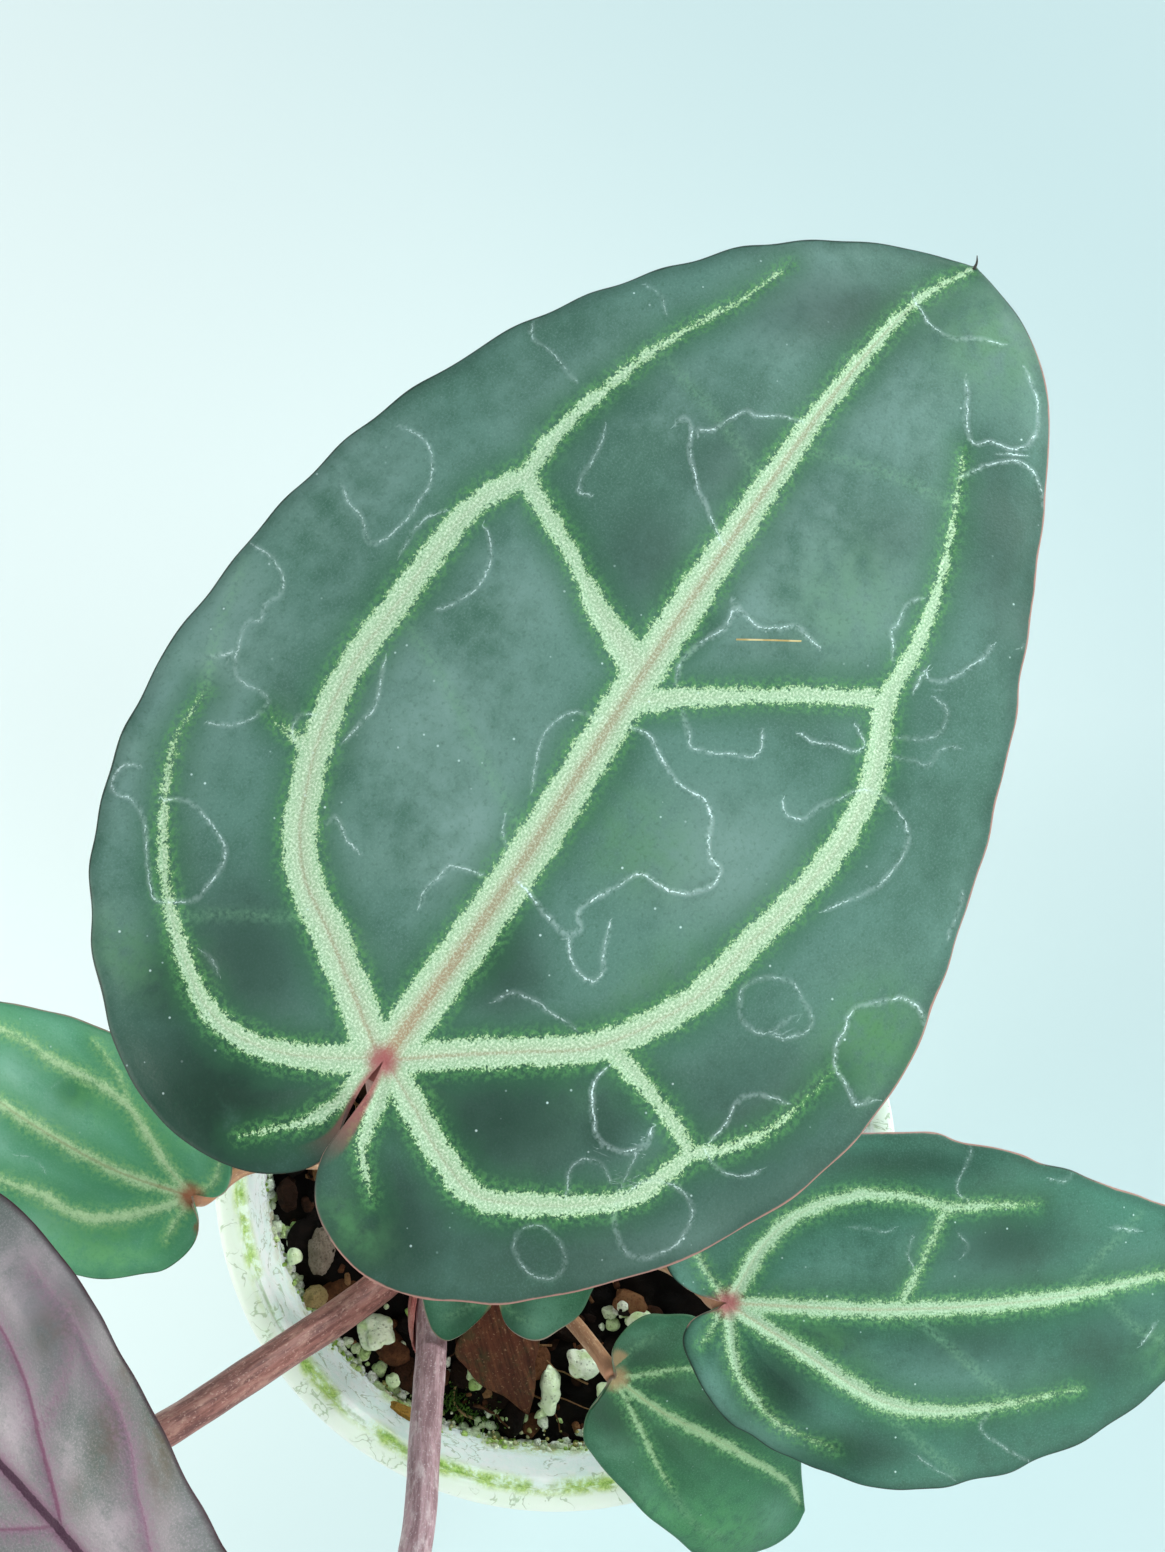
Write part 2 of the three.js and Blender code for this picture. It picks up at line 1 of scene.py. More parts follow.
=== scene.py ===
"""A potted velvet-leaved anthurium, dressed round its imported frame: leaves with pale veins, their stalks
and sheaths, the pot and the potting mix. Lengths are in millimetres; make_mesh turns them into metres."""

import math

import bmesh
import bpy
import numpy as np
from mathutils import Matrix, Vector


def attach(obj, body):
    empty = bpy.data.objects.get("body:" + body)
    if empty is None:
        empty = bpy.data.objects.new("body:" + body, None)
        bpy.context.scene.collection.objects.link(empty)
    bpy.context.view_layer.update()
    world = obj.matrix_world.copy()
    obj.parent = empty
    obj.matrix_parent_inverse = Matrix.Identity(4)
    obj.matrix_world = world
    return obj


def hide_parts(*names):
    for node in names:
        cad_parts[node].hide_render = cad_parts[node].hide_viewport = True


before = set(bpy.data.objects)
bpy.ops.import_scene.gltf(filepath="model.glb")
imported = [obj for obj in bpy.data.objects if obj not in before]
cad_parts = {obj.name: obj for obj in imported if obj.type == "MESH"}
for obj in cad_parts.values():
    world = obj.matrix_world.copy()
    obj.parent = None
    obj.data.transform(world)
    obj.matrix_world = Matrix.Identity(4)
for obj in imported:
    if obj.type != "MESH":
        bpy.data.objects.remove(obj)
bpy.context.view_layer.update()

MM = 0.001
UP = np.array([0.0, 0.0, 1.0])

# Camera: straight over the plant, looking down; the photograph's size is in pixels
CAMERA_AT = (5.2, 75.3, 545.0)
FOCAL_LENGTH = 52.49
SENSOR = 36.0
PHOTO_WIDTH = 1165
PHOTO_HEIGHT = 1552

# Pot
POT_HEIGHT = 115
RIM_RADIUS = 65
RIM_INNER_RADIUS = 60.7
COLLAR_HEIGHT = 14
FOOT_RADIUS = 45
WALL = 2
FLOOR = 2.6
WALL_TAPER = 0.145
LIP = 0.8
DRAIN_HOLES = 5
DRAIN_RING = 27
DRAIN_RADIUS = 4.5
DRILL_SIDES = 32
POT_SEGMENTS = 240

# Potting mix and crown
MIX_TOP = 97
MIX_SEGMENTS = 200
MIX_RINGS = 80
MIX_REACH = 55.5
CLEARANCE = 0.3
CROWN_CENTRE = np.array([-17.0, -13.0])
CROWN_RADIUS = 13.5
CROWN_BOTTOM = 84
CROWN_TOP = 106
CROWN_ROWS = 70
CROWN_SIDES = 120
STALK_RING = 9.6

# Leaves
BLADE = 0.8
KEEL = 1.0
NOTCH_END = 0.08
LOBE_END = 0.4
STALK_SIDES = 36
FAR = 40.0
FAINT_BAND = 0.4

# junction and tip are the places of the stalk's end and of the blade's tip. arch, fold, curl, lap and wave
# bend the blade: along its midrib, up and down across it, one lobe over the other, and along its edge.
# foot is the bearing of the stalk's foot on the crown, and via the places that the stalk passes.
# rays and rings divide the mesh of each half, and relief is how high the blade stands between its veins.
# In a leaf's own plane u runs from the stalk towards the tip and v to its left, seen from above.
# left and right are the edge of each half, from the notch round the lobe to the tip.
# Each vein is: half width of its pale band at the start, at the middle and at the end, strength of its
# pink centre line, and its points. The midrib comes first, and a vein under FAINT_BAND is a faint one.
# The four soft patches come in this order, each as middle, half sizes, turn in degrees and strength:
# painted sheen, milky where light glances off the velvet; a yellow-green glow, partly the leaf's own colour
# and partly painted light shining through it; painted shade where the blade turns from the light; and
# the pink blush of the edge.
LEAVES = {
    "a": dict(
        junction=(-23, 35, 225), tip=(66, 154, 197), arch=7, fold=0.06, curl=0.0022, lap=1.3, wave=1.3,
        midrib=[(0, 0), (30, 0.8), (60, 3), (90, 4.8), (120, 5.6), (140, 4), (151, 0)],
        left=[(-7, 0.6), (-16, -1.6), (-22.5, 4), (-25.4, 14), (-23.5, 26), (-13.6, 40.4), (3.8, 53.6),
              (28.5, 60.7), (54, 60.3), (81.7, 55), (106.3, 45.1), (130.4, 28.6), (143.7, 13.7), (151, 0)],
        right=[(-5, -2), (-10, -1.2), (-16, -1.2), (-22, -5), (-25.3, -14), (-23.7, -23), (-13, -38.5),
               (7, -53.6), (35, -61.7), (63, -56.6), (96.5, -43.2), (126, -29.4), (140.5, -20),
               (147.4, -10.7), (151, 0)],
        foot=95, radius=3.1, via=[(-22.5, 3, 138), (-24.5, 18, 185)],
        rays=290, rings=78, relief=0.9,
        veins=[
            (3.4, 2.9, 0.4, 1.0, [(0, 0), (30, 0.8), (60, 3), (90, 4.8), (120, 5.6), (140, 4), (151, 0)]),
            (3.0, 2.4, 1.7, 0.45, [(0, 0.6), (3.7, 6.9), (9.6, 16.7), (13.7, 24.2), (18.9, 29.1),
                                  (26.5, 33.1), (33.4, 35.7), (42.8, 37.5), (53.6, 37.7), (63.5, 38),
                                  (72.3, 37.4), (79.3, 34.4)]),
            (1.5, 0.8, 0.1, 0.0, [(79.3, 34.4), (88, 34.5), (98.2, 32.8), (108, 30.6), (121.6, 25.4),
                                  (131.3, 22.7)]),
            (2.8, 1.2, 1.7, 0.0, [(66.5, 5), (69.6, 13.9), (73.4, 21.1), (79.3, 34.4)]),
            (1.4, 0.6, 0.15, 0.0, [(28.8, 34.8), (29.4, 42.5)]),
            (2.4, 1.1, 0.3, 0.25, [(0, 0.8), (-4.1, 6.3), (-7.6, 12.4), (-9.4, 18.9), (-8.6, 24.9),
                                  (-5.3, 31), (-0.9, 37), (4.1, 42.1), (11, 47.2), (18.7, 51.3),
                                  (26.9, 52.3)]),
            (0.7, 0.35, 0.1, 0.0, [(26.9, 52.3), (33.5, 55.6), (45.4, 59.3)]),
            (1.8, 0.9, 0.1, 0.0, [(-2.5, 1.3), (-7, 1.4), (-12.6, 3.3), (-17.1, 6.9), (-20.1, 9.9)]),
            (2.3, 2.2, 1.8, 0.4, [(0.6, -0.6), (6.2, -7.1), (12.4, -14.7), (18.7, -22.4), (25, -26.6),
                                  (34, -30.5), (44, -32), (54, -33.6), (66, -33.9), (75.3, -31.8),
                                  (84.5, -27)]),
            (1.6, 0.9, 0.15, 0.0, [(84.5, -27), (93.4, -26.3), (103.3, -24.1), (113.7, -19.9), (123.9, -15)]),
            (2.0, 1.2, 1.5, 0.0, [(62.7, 1.5), (68.2, -5.1), (75.5, -14.2), (83.5, -25)]),
            (1.6, 1.2, 1.2, 0.0, [(20.2, -25.5), (19.4, -30.8), (17.5, -37.7), (15.3, -43)]),
            (1.2, 0.6, 0.1, 0.0, [(15.3, -43), (20.7, -48), (28.4, -51.3), (37, -52.5)]),
            (2.3, 1.8, 1.2, 0.3, [(0, -1), (-2.8, -7.8), (-5.7, -14.4), (-7.3, -21.7), (-3.8, -28.8),
                                  (1.2, -35.7), (6.6, -40.6), (10.9, -41.8), (15.3, -43)]),
            (1.8, 1.1, 0.1, 0.0, [(-2, -1.8), (-6.1, -3.2), (-11.7, -5.1), (-14.5, -8.3), (-16.4, -10.5)]),
            (0.35, 0.3, 0.3, 0.0, [(109, 3), (113, -8), (116, -19)]),
            (0.35, 0.3, 0.3, 0.0, [(8.6, 22), (2, 32), (-2, 36)]),
            (0.3, 0.3, 0.2, 0.0, [(36, 0.6), (41, 12), (47, 24), (52, 36)]),
            (0.3, 0.3, 0.2, 0.0, [(100, 5.5), (104, 18), (107, 30)]),
        ],
        painted_sheen=[(-6, 45, 8, 11, 0, 0.4), (45, 25, 17, 28, -53, 0.75), (94, -5, 18, 17, -52, 1.0),
               (97, 30, 16, 12, -51, 0.6), (51, -21, 12, 11, -53, 0.7), (35, 54, 10, 15, -55, 0.7),
               (122, 0, 12, 13, -51, 0.6), (0, -45, 15, 4, -54, 0.4), (33, 13, 9, 15, -53, 0.9),
               (145, -6, 12, 11, -50, 1.0), (16, 56, 9, 19, -55, 0.75), (64, 54, 13, 9, 0, 0.8),
               (62, 26, 9, 10, 0, 0.7), (127, 18, 12, 8, 0, 0.8)],
        glow=[(142, -9, 9, 10, 0, 0.6), (46, -10, 7, 9, 0, 0.5), (44.8, -55, 8, 8, 0, 0.9),
              (-9, 38, 5, 8, 0, 0.5), (-21, -10, 4, 6, 0, 0.7), (93, -14, 9, 8, 0, 0.4),
              (27, -25, 15, 5, 0, 0.4)],
        painted_shade=[(-19, 14, 15, 20, 0, 0.95), (-9, 29, 10, 9, 0, 0.75), (0, 24, 11, 13, -54, 0.7),
              (4, -18, 20, 13, -54, 0.8), (-8, -34, 28, 14, -54, 0.6), (-19, -15, 13, 13, -54, 0.85),
              (20, -52, 18, 14, -20, 0.5), (11, -30, 8, 7, 0, 0.7), (114, -30, 6, 21, -50, 0.5),
              (104, -14, 7, 6, -51, 0.25), (131, 11, 14, 6, -49, 0.6), (20, -6, 7, 8, -54, 0.7),
              (26, -47, 15, 11, -54, 0.5), (80, 13, 7, 9, -52, 0.5), (99, 11, 9, 8, -51, 0.4)],
        blush=[(-9, 0, 8, 5, 0, 1.0), (32, -61, 60, 9, 4, 0.9), (105, -38, 55, 10, 26, 0.8),
               (-20, -26, 10, 20, 0, 1.0), (-2, -46, 16, 16, 0, 1.0)],
    ),
    "b": dict(
        junction=(29, -11, 175), tip=(127, -9.5, 150), arch=5, fold=0.08, curl=0.003, lap=0, wave=1,
        midrib=[(0, 0), (28, -2.2), (57, -2), (80, 0.3), (101, 0)],
        left=[(-1.5, 0.5), (-6.7, 2.7), (-9.8, 6), (-10.3, 11), (-6, 19), (5.6, 25), (23.7, 27.2),
              (42, 24.8), (67.4, 15.8), (88, 7.5), (101, 0)],
        right=[(-1.5, -0.8), (-6, -2.6), (-7.6, -5.5), (-6.3, -10), (-2.7, -16.3), (7.4, -24.3),
               (26, -31.6), (46, -31), (67.4, -23), (86, -12), (101, 0)],
        foot=25, radius=2.3, via=[(-2, -9.2, 113.5), (10, -10, 130), (21, -9.5, 151)],
        rays=190, rings=44, relief=0.7,
        veins=[
            (1.5, 1.4, 0.3, 0.4, [(0, 0), (28, -2.2), (57, -2), (80, 0.3), (101, 0)]),
            (1.6, 1.3, 0.8, 0.25, [(1.1, 1.3), (6, 9.5), (11.8, 14.2), (21, 16.8), (30.3, 16.3),
                                  (36.2, 14.3)]),
            (1.1, 0.7, 0.1, 0.0, [(36.2, 14.3), (44, 14.3), (53.1, 13.9)]),
            (0.9, 0.5, 0.8, 0.0, [(29.3, -0.6), (32.7, 5.9), (36.2, 14)]),
            (1.6, 1.5, 0.3, 0.35, [(1.2, -0.8), (11.5, -7.9), (21.3, -14.9), (28, -18.2), (38.3, -19.6),
                                  (47.2, -19), (60, -17.6)]),
            (1.3, 0.7, 0.1, 0.1, [(0.2, -1), (0.8, -9.1), (2.4, -13.2), (8.1, -20.1), (17.2, -24.6)]),
            (0.8, 0.6, 0.3, 0.0, [(-0.5, 1), (-4.6, 7.4), (-6, 13)]),
            (0.7, 0.4, 0.2, 0.0, [(-1.5, -2), (-3.4, -5.2), (-4.6, -6.5)]),
            (0.35, 0.3, 0.3, 0.0, [(30, -2.5), (38, -10), (47, -18)]),
            (0.35, 0.3, 0.2, 0.0, [(25, -18), (31, -24), (38, -30)]),
            (0.3, 0.3, 0.2, 0.0, [(58, -2), (66, 6), (72, 11)]),
            (0.3, 0.3, 0.2, 0.0, [(64, -1.5), (72, -9), (80, -12)]),
        ],
        painted_sheen=[(28, 6, 26, 7, -3, 0.4), (33, -12, 23, 6, -4, 0.5), (-5, 6, 5, 5, -2, 0.9),
               (-3, -14, 5, 10, -2, 0.9), (5, -22, 10, 5, -3, 0.7), (75, -4, 12, 10, 0, 0.4)],
        glow=[(12, -4, 12, 3, -35, 0.8), (80, -12, 9, 5, 20, 0.7)],
        painted_shade=[(17, -6, 8, 3, -3, 0.6), (8, -13, 7, 7, -2, 0.8), (39, -8, 14, 5, -4, 0.5),
              (20, -25, 10, 4, -3, 0.7), (29, 22, 17, 3, -3, 0.6), (47, 8, 11, 6, 0, 0.7),
              (64, -11, 9, 7, 0, 0.5)],
        blush=[(30, 27, 45, 5, -4, 1.0), (80, 12, 20, 8, -24, 0.8), (-4, 0, 5, 4, 0, 1.0)],
    ),
    "c": dict(
        junction=(-61.6, 3.7, 160), tip=(-125.5, 32.3, 143), arch=4, fold=0.08, curl=0.003, lap=0, wave=0.8,
        midrib=[(0, 0), (13, 1.4), (30, 0.6), (50, -1.5), (72, 0)],
        left=[(-0.8, 0.8), (-3.7, 3.7), (-3.9, 7.5), (0, 14.3), (9, 19.2), (20, 21.4), (36, 20),
              (52, 13.5), (64, 6), (72, 0)],
        right=[(-0.8, -0.9), (-4, -1.7), (-5.4, -4.5), (-3, -11), (6, -17.6), (20, -20), (34, -18.4),
               (50, -14), (63, -7), (72, 0)],
        foot=145, radius=1.8, via=[(-28, -2, 120), (-41, 6.6, 141), (-54, 7, 149.5)],
        rays=120, rings=30, relief=0.6,
        veins=[
            (1.1, 1.1, 0.3, 0.4, [(0, 0), (13, 1.4), (30, 0.6), (50, -1.5), (72, 0)]),
            (1.0, 0.9, 0.4, 0.2, [(0.1, -0.3), (6, -3.2), (15.2, -9.2), (21.7, -10.8), (31.6, -10.9),
                                  (39.4, -12), (52, -9)]),
            (0.5, 0.4, 0.2, 0.0, [(15.2, -9.2), (20, -14), (26, -17)]),
            (1.0, 1.1, 0.4, 0.1, [(0.5, 0.8), (5.1, 4.8), (10.7, 8.9), (16.4, 11), (23.4, 10.6), (31, 11.4),
                                  (44, 11)]),
            (0.7, 0.5, 0.1, 0.0, [(0.1, 1.6), (0.7, 5.5), (0.7, 8.3)]),
            (0.6, 0.4, 0.1, 0.0, [(-0.5, -1), (-2.6, -4), (-2, -8)]),
        ],
        painted_sheen=[(33, -2, 12, 11, -155, 1.0), (19, 13, 10, 3, -155, 0.8), (-1, -6, 3, 4, -155, 0.9),
               (30, 13, 11, 7, -155, 0.6)],
        glow=[(10, 14, 10, 5, 10, 0.8), (22, -7, 5, 3, 0, 0.5), (8, -10, 8, 5, 0, 0.6)],
        painted_shade=[(25, -8, 4, 3, -155, 1.0), (13, 5, 10, 2, -155, 0.3)],
        blush=[(25, -20, 30, 5, 0, 1.0), (-4, 0, 4, 6, 0, 1.0)],
    ),
    "d": dict(
        junction=(11.4, -32.8, 140), tip=(49, -69, 101), arch=5, fold=0.05, curl=0.004, lap=0, wave=0.6,
        midrib=[(0, 0), (11, 0.4), (21, 1.9), (30, 3), (42, 3.6), (52, 3.2), (65.2, 0)],
        left=[(-0.8, 0.6), (-5.6, 4), (-5.9, 8), (-3.9, 12), (2.7, 17.7), (16, 20.5), (32, 17.5),
              (44, 11.5), (54, 5.5), (65.2, 0)],
        right=[(-0.8, -0.8), (0, -4.1), (0, -8), (2.9, -11.7), (8.2, -13.7), (22.4, -15.8), (35.2, -17),
               (46, -18), (57, -16), (64.5, -11), (67.4, -5), (65.2, 0)],
        foot=335, radius=1.6, via=[(-4, -20.5, 117), (2.5, -25, 125)],
        rays=120, rings=30, relief=0.6,
        veins=[
            (0.8, 1.1, 0.4, 0.3, [(0, 0), (11, 0.4), (21, 1.9), (30, 3), (42, 3.6), (52, 3.2), (62, 0.6)]),
            (0.7, 0.6, 0.3, 0.0, [(0.5, -0.6), (4.7, -1.9), (12.8, -5.1), (20.2, -8), (25.8, -9.7)]),
            (0.6, 0.5, 0.2, 0.0, [(0.3, 0.8), (2.3, 2.3), (8.4, 8.9), (17, 13), (28, 13)]),
            (0.35, 0.3, 0.2, 0.0, [(25.8, -9.7), (36, -12.5), (46, -12)]),
            (0.35, 0.3, 0.1, 0.0, [(-0.4, 0.6), (-2.4, 5), (-1, 10)]),
        ],
        painted_sheen=[(9, -10, 6, 4, 32, 0.5), (22, -13, 10, 3, 0, 0.4), (55, -4, 6, 6, 0, 0.6),
               (-3, 10, 7, 4, 35, 0.4)],
        glow=[(46, -11, 15, 6, 0, 0.7), (30, -14, 10, 3, 0, 0.6)],
        painted_shade=[(4, -5, 9, 5, 0, 0.9), (4, 5, 8, 5, 0, 0.9), (22, 8, 12, 9, 24, 0.8), (16, -3, 8, 4, 0, 0.5)],
        blush=[(-2, 0, 3, 3, 0, 0.8)],
    ),
    "e": dict(
        junction=(-93, -45, 200), tip=(-150, -86, 150), arch=6, fold=0.08, curl=0.004, lap=0, wave=1,
        midrib=[(0, 0), (40, 1), (86.2, 0)],
        left=[(-1.5, 0.8), (-9, 4), (-13, 11), (-9, 21), (6, 30), (26, 32), (48, 26.5), (70, 13.5),
              (86.2, 0)],
        right=[(-1.5, -0.8), (-9, -4), (-13, -11), (-9, -21), (6, -30), (26, -32), (48, -26.5),
               (70, -13.5), (86.2, 0)],
        foot=190, radius=3.25, via=[(-32.4, -19.2, 125), (-54.3, -29.8, 152), (-66, -35, 166)],
        rays=140, rings=36, relief=0.8,
        veins=[
            (2.2, 2.0, 0.3, 0.9, [(0, 0), (40, 1), (86.2, 0)]),
            (2.0, 1.5, 0.3, 0.5, [(0.6, 0.6), (8, 9), (18, 16), (32, 19), (48, 17), (64, 11)]),
            (2.0, 1.5, 0.3, 0.5, [(0.6, -0.6), (7, -9), (17, -17), (30, -20), (46, -18), (62, -12)]),
            (1.7, 1.0, 0.2, 0.3, [(-0.4, 1), (-4, 8), (-3, 17), (5, 24), (17, 27)]),
            (1.7, 1.0, 0.2, 0.3, [(-0.4, -1), (-4, -9), (-3, -17), (6, -24), (18, -27)]),
            (1.0, 0.8, 0.8, 0.0, [(34, 1), (40, 9), (45, 17)]),
            (1.0, 0.8, 0.8, 0.0, [(44, 0.8), (50, -8), (54, -15.4)]),
        ],
        painted_sheen=[(30, 8, 20, 6, 0, 0.7), (36, -10, 18, 6, 0, 0.7)],
        glow=[(12, -22, 8, 5, 0, 0.5)],
        painted_shade=[(4, 14, 10, 8, 0, 0.7), (4, -14, 10, 8, 0, 0.7)],
        blush=[(-6, 0, 6, 4, 0, 1.0), (26, -32, 30, 5, 0, 0.8)],
    ),
    "f": dict(
        junction=(-46, -44, 250), tip=(-131, 6, 175), arch=5, fold=0.06, curl=0.0025, lap=0, wave=1.2,
        midrib=[(0, 0), (26, -2.8), (44, -3.7), (80, -3), (124, 0)],
        left=[(-2, 1), (-11, 2.5), (-18, 8), (-17, 17), (-5, 25), (14, 30.5), (38, 34), (64, 33),
              (90, 23.5), (110, 10.5), (124, 0)],
        right=[(-2, -1), (-11, -2.5), (-18, -7), (-17, -14), (-7, -18), (7.5, -17), (23, -23.8),
               (43.6, -29), (70, -32), (94, -24), (112, -11), (124, 0)],
        foot=245, radius=2.8, via=[(-23.2, -22.8, 121), (-22, -27.2, 138), (-21.3, -35, 163),
                                   (-21, -45.5, 188), (-24, -54, 208)],
        rays=170, rings=42, relief=0.8,
        veins=[
            (1.8, 1.3, 0.3, 1.15, [(0, 0), (26, -2.8), (44, -3.7), (80, -3), (124, 0)]),
            (1.0, 0.9, 0.3, 0.55, [(30.5, -4.0), (34.4, -6.7), (41, -10.6), (47.3, -14.5), (56.3, -17.6),
                                   (70, -19), (88, -15)]),
            (1.2, 1.1, 0.4, 0.3, [(0, -0.6), (8, -5.6), (15.8, -9.8), (18.6, -12.1), (22.7, -14.9),
                                  (26.9, -18.6), (32.4, -21.4), (39.2, -23), (45.8, -25.2), (58, -27)]),
            (1.1, 0.8, 0.3, 0.4, [(31, -3), (38.3, 2.6), (50, 10), (66, 16), (86, 15)]),
            (1.3, 1.0, 0.3, 0.4, [(0, 0.6), (9, 9), (22, 17), (38, 22), (56, 23)]),
            (1.3, 0.8, 0.2, 0.1, [(-0.6, 1), (-6, 8), (-4, 16), (6, 22)]),
            (1.2, 0.7, 0.2, 0.1, [(-0.6, -1), (-6, -6), (-6, -12), (0, -14)]),
            (0.7, 0.5, 0.6, 0.1, [(41, -10.6), (42, -18), (45.8, -25.2)]),
        ],
        painted_sheen=[(42, -22, 9, 12, -146, 0.4), (22, -14, 9, 6, -145, 0.4), (35, -11, 4, 7, -146, 0.8),
               (22, -8, 9, 7, -145, 0.8), (14, -13, 7, 7, -145, 0.5), (57, -25, 9, 8, 0, 0.8),
               (24, -19, 8, 3, -145, 0.3), (45, -11, 8, 9, -146, 0.8), (20, 12, 22, 10, 0, 0.5)],
        glow=[(31, -19, 3, 6, -146, 1.0), (48, -24, 4, 4, -147, 0.7), (22, -21, 3, 7, -145, 0.9),
              (34, -26, 2, 4, -146, 0.6), (30, -8, 3, 3, -145, 0.4)],
        painted_shade=[(62, -31, 12, 12, -148, 0.3), (50, -24, 7, 8, -147, 0.7), (76, -14, 14, 10, 0, 0.8),
              (60, 18, 20, 10, 0, 0.6)],
        blush=[(40, -25, 60, 16, 0, 1.0)],
    ),
    "g": dict(
        junction=(-10, -16, 145), tip=(6, 36, 150), arch=2, fold=0.08, curl=0.004, lap=0, wave=0.5,
        midrib=[(0, 0), (25, 0.6), (54.6, 0)],
        left=[(-3, 0.2), (-6.8, 2), (-10, 4), (-11.6, 6), (-10.8, 8.5), (-8.4, 10.8), (-5.4, 12.2),
              (4, 14), (18, 14), (36, 9), (54.6, 0)],
        right=[(-2.8, -1.5), (-5.1, -3.1), (-6.4, -5.7), (-6.2, -9.4), (-1.9, -14), (4.4, -16), (14, -17),
               (28, -14.5), (42, -8), (54.6, 0)],
        foot=None, radius=1.6, via=[(-14, -14.5, 124)],
        rays=100, rings=24, relief=0.5,
        veins=[
            (0.6, 0.5, 0.2, 0.2, [(0, 0), (25, 0.6), (54.6, 0)]),
            (0.45, 0.4, 0.2, 0.0, [(0.3, 0.4), (8, 7), (20, 9), (34, 6)]),
            (0.45, 0.4, 0.2, 0.0, [(0.3, -0.4), (8, -8), (20, -10), (32, -7)]),
            (0.35, 0.3, 0.2, 0.0, [(-0.5, 0.6), (-4, 4), (-7, 7)]),
            (0.35, 0.3, 0.2, 0.0, [(-0.5, -0.6), (-2.6, -4), (-3.4, -8)]),
        ],
        painted_sheen=[(-3, -9, 6, 6, 0, 0.7), (-6, 8, 5, 4, 0, 0.5)],
        glow=[],
        painted_shade=[(-5, 4, 6, 3, 0, 0.7), (-3, -4, 6, 3, 0, 0.6)],
        blush=[(-6, -8, 8, 10, 0, 0.6), (-6, 8, 8, 8, 0, 0.6)],
    ),
}

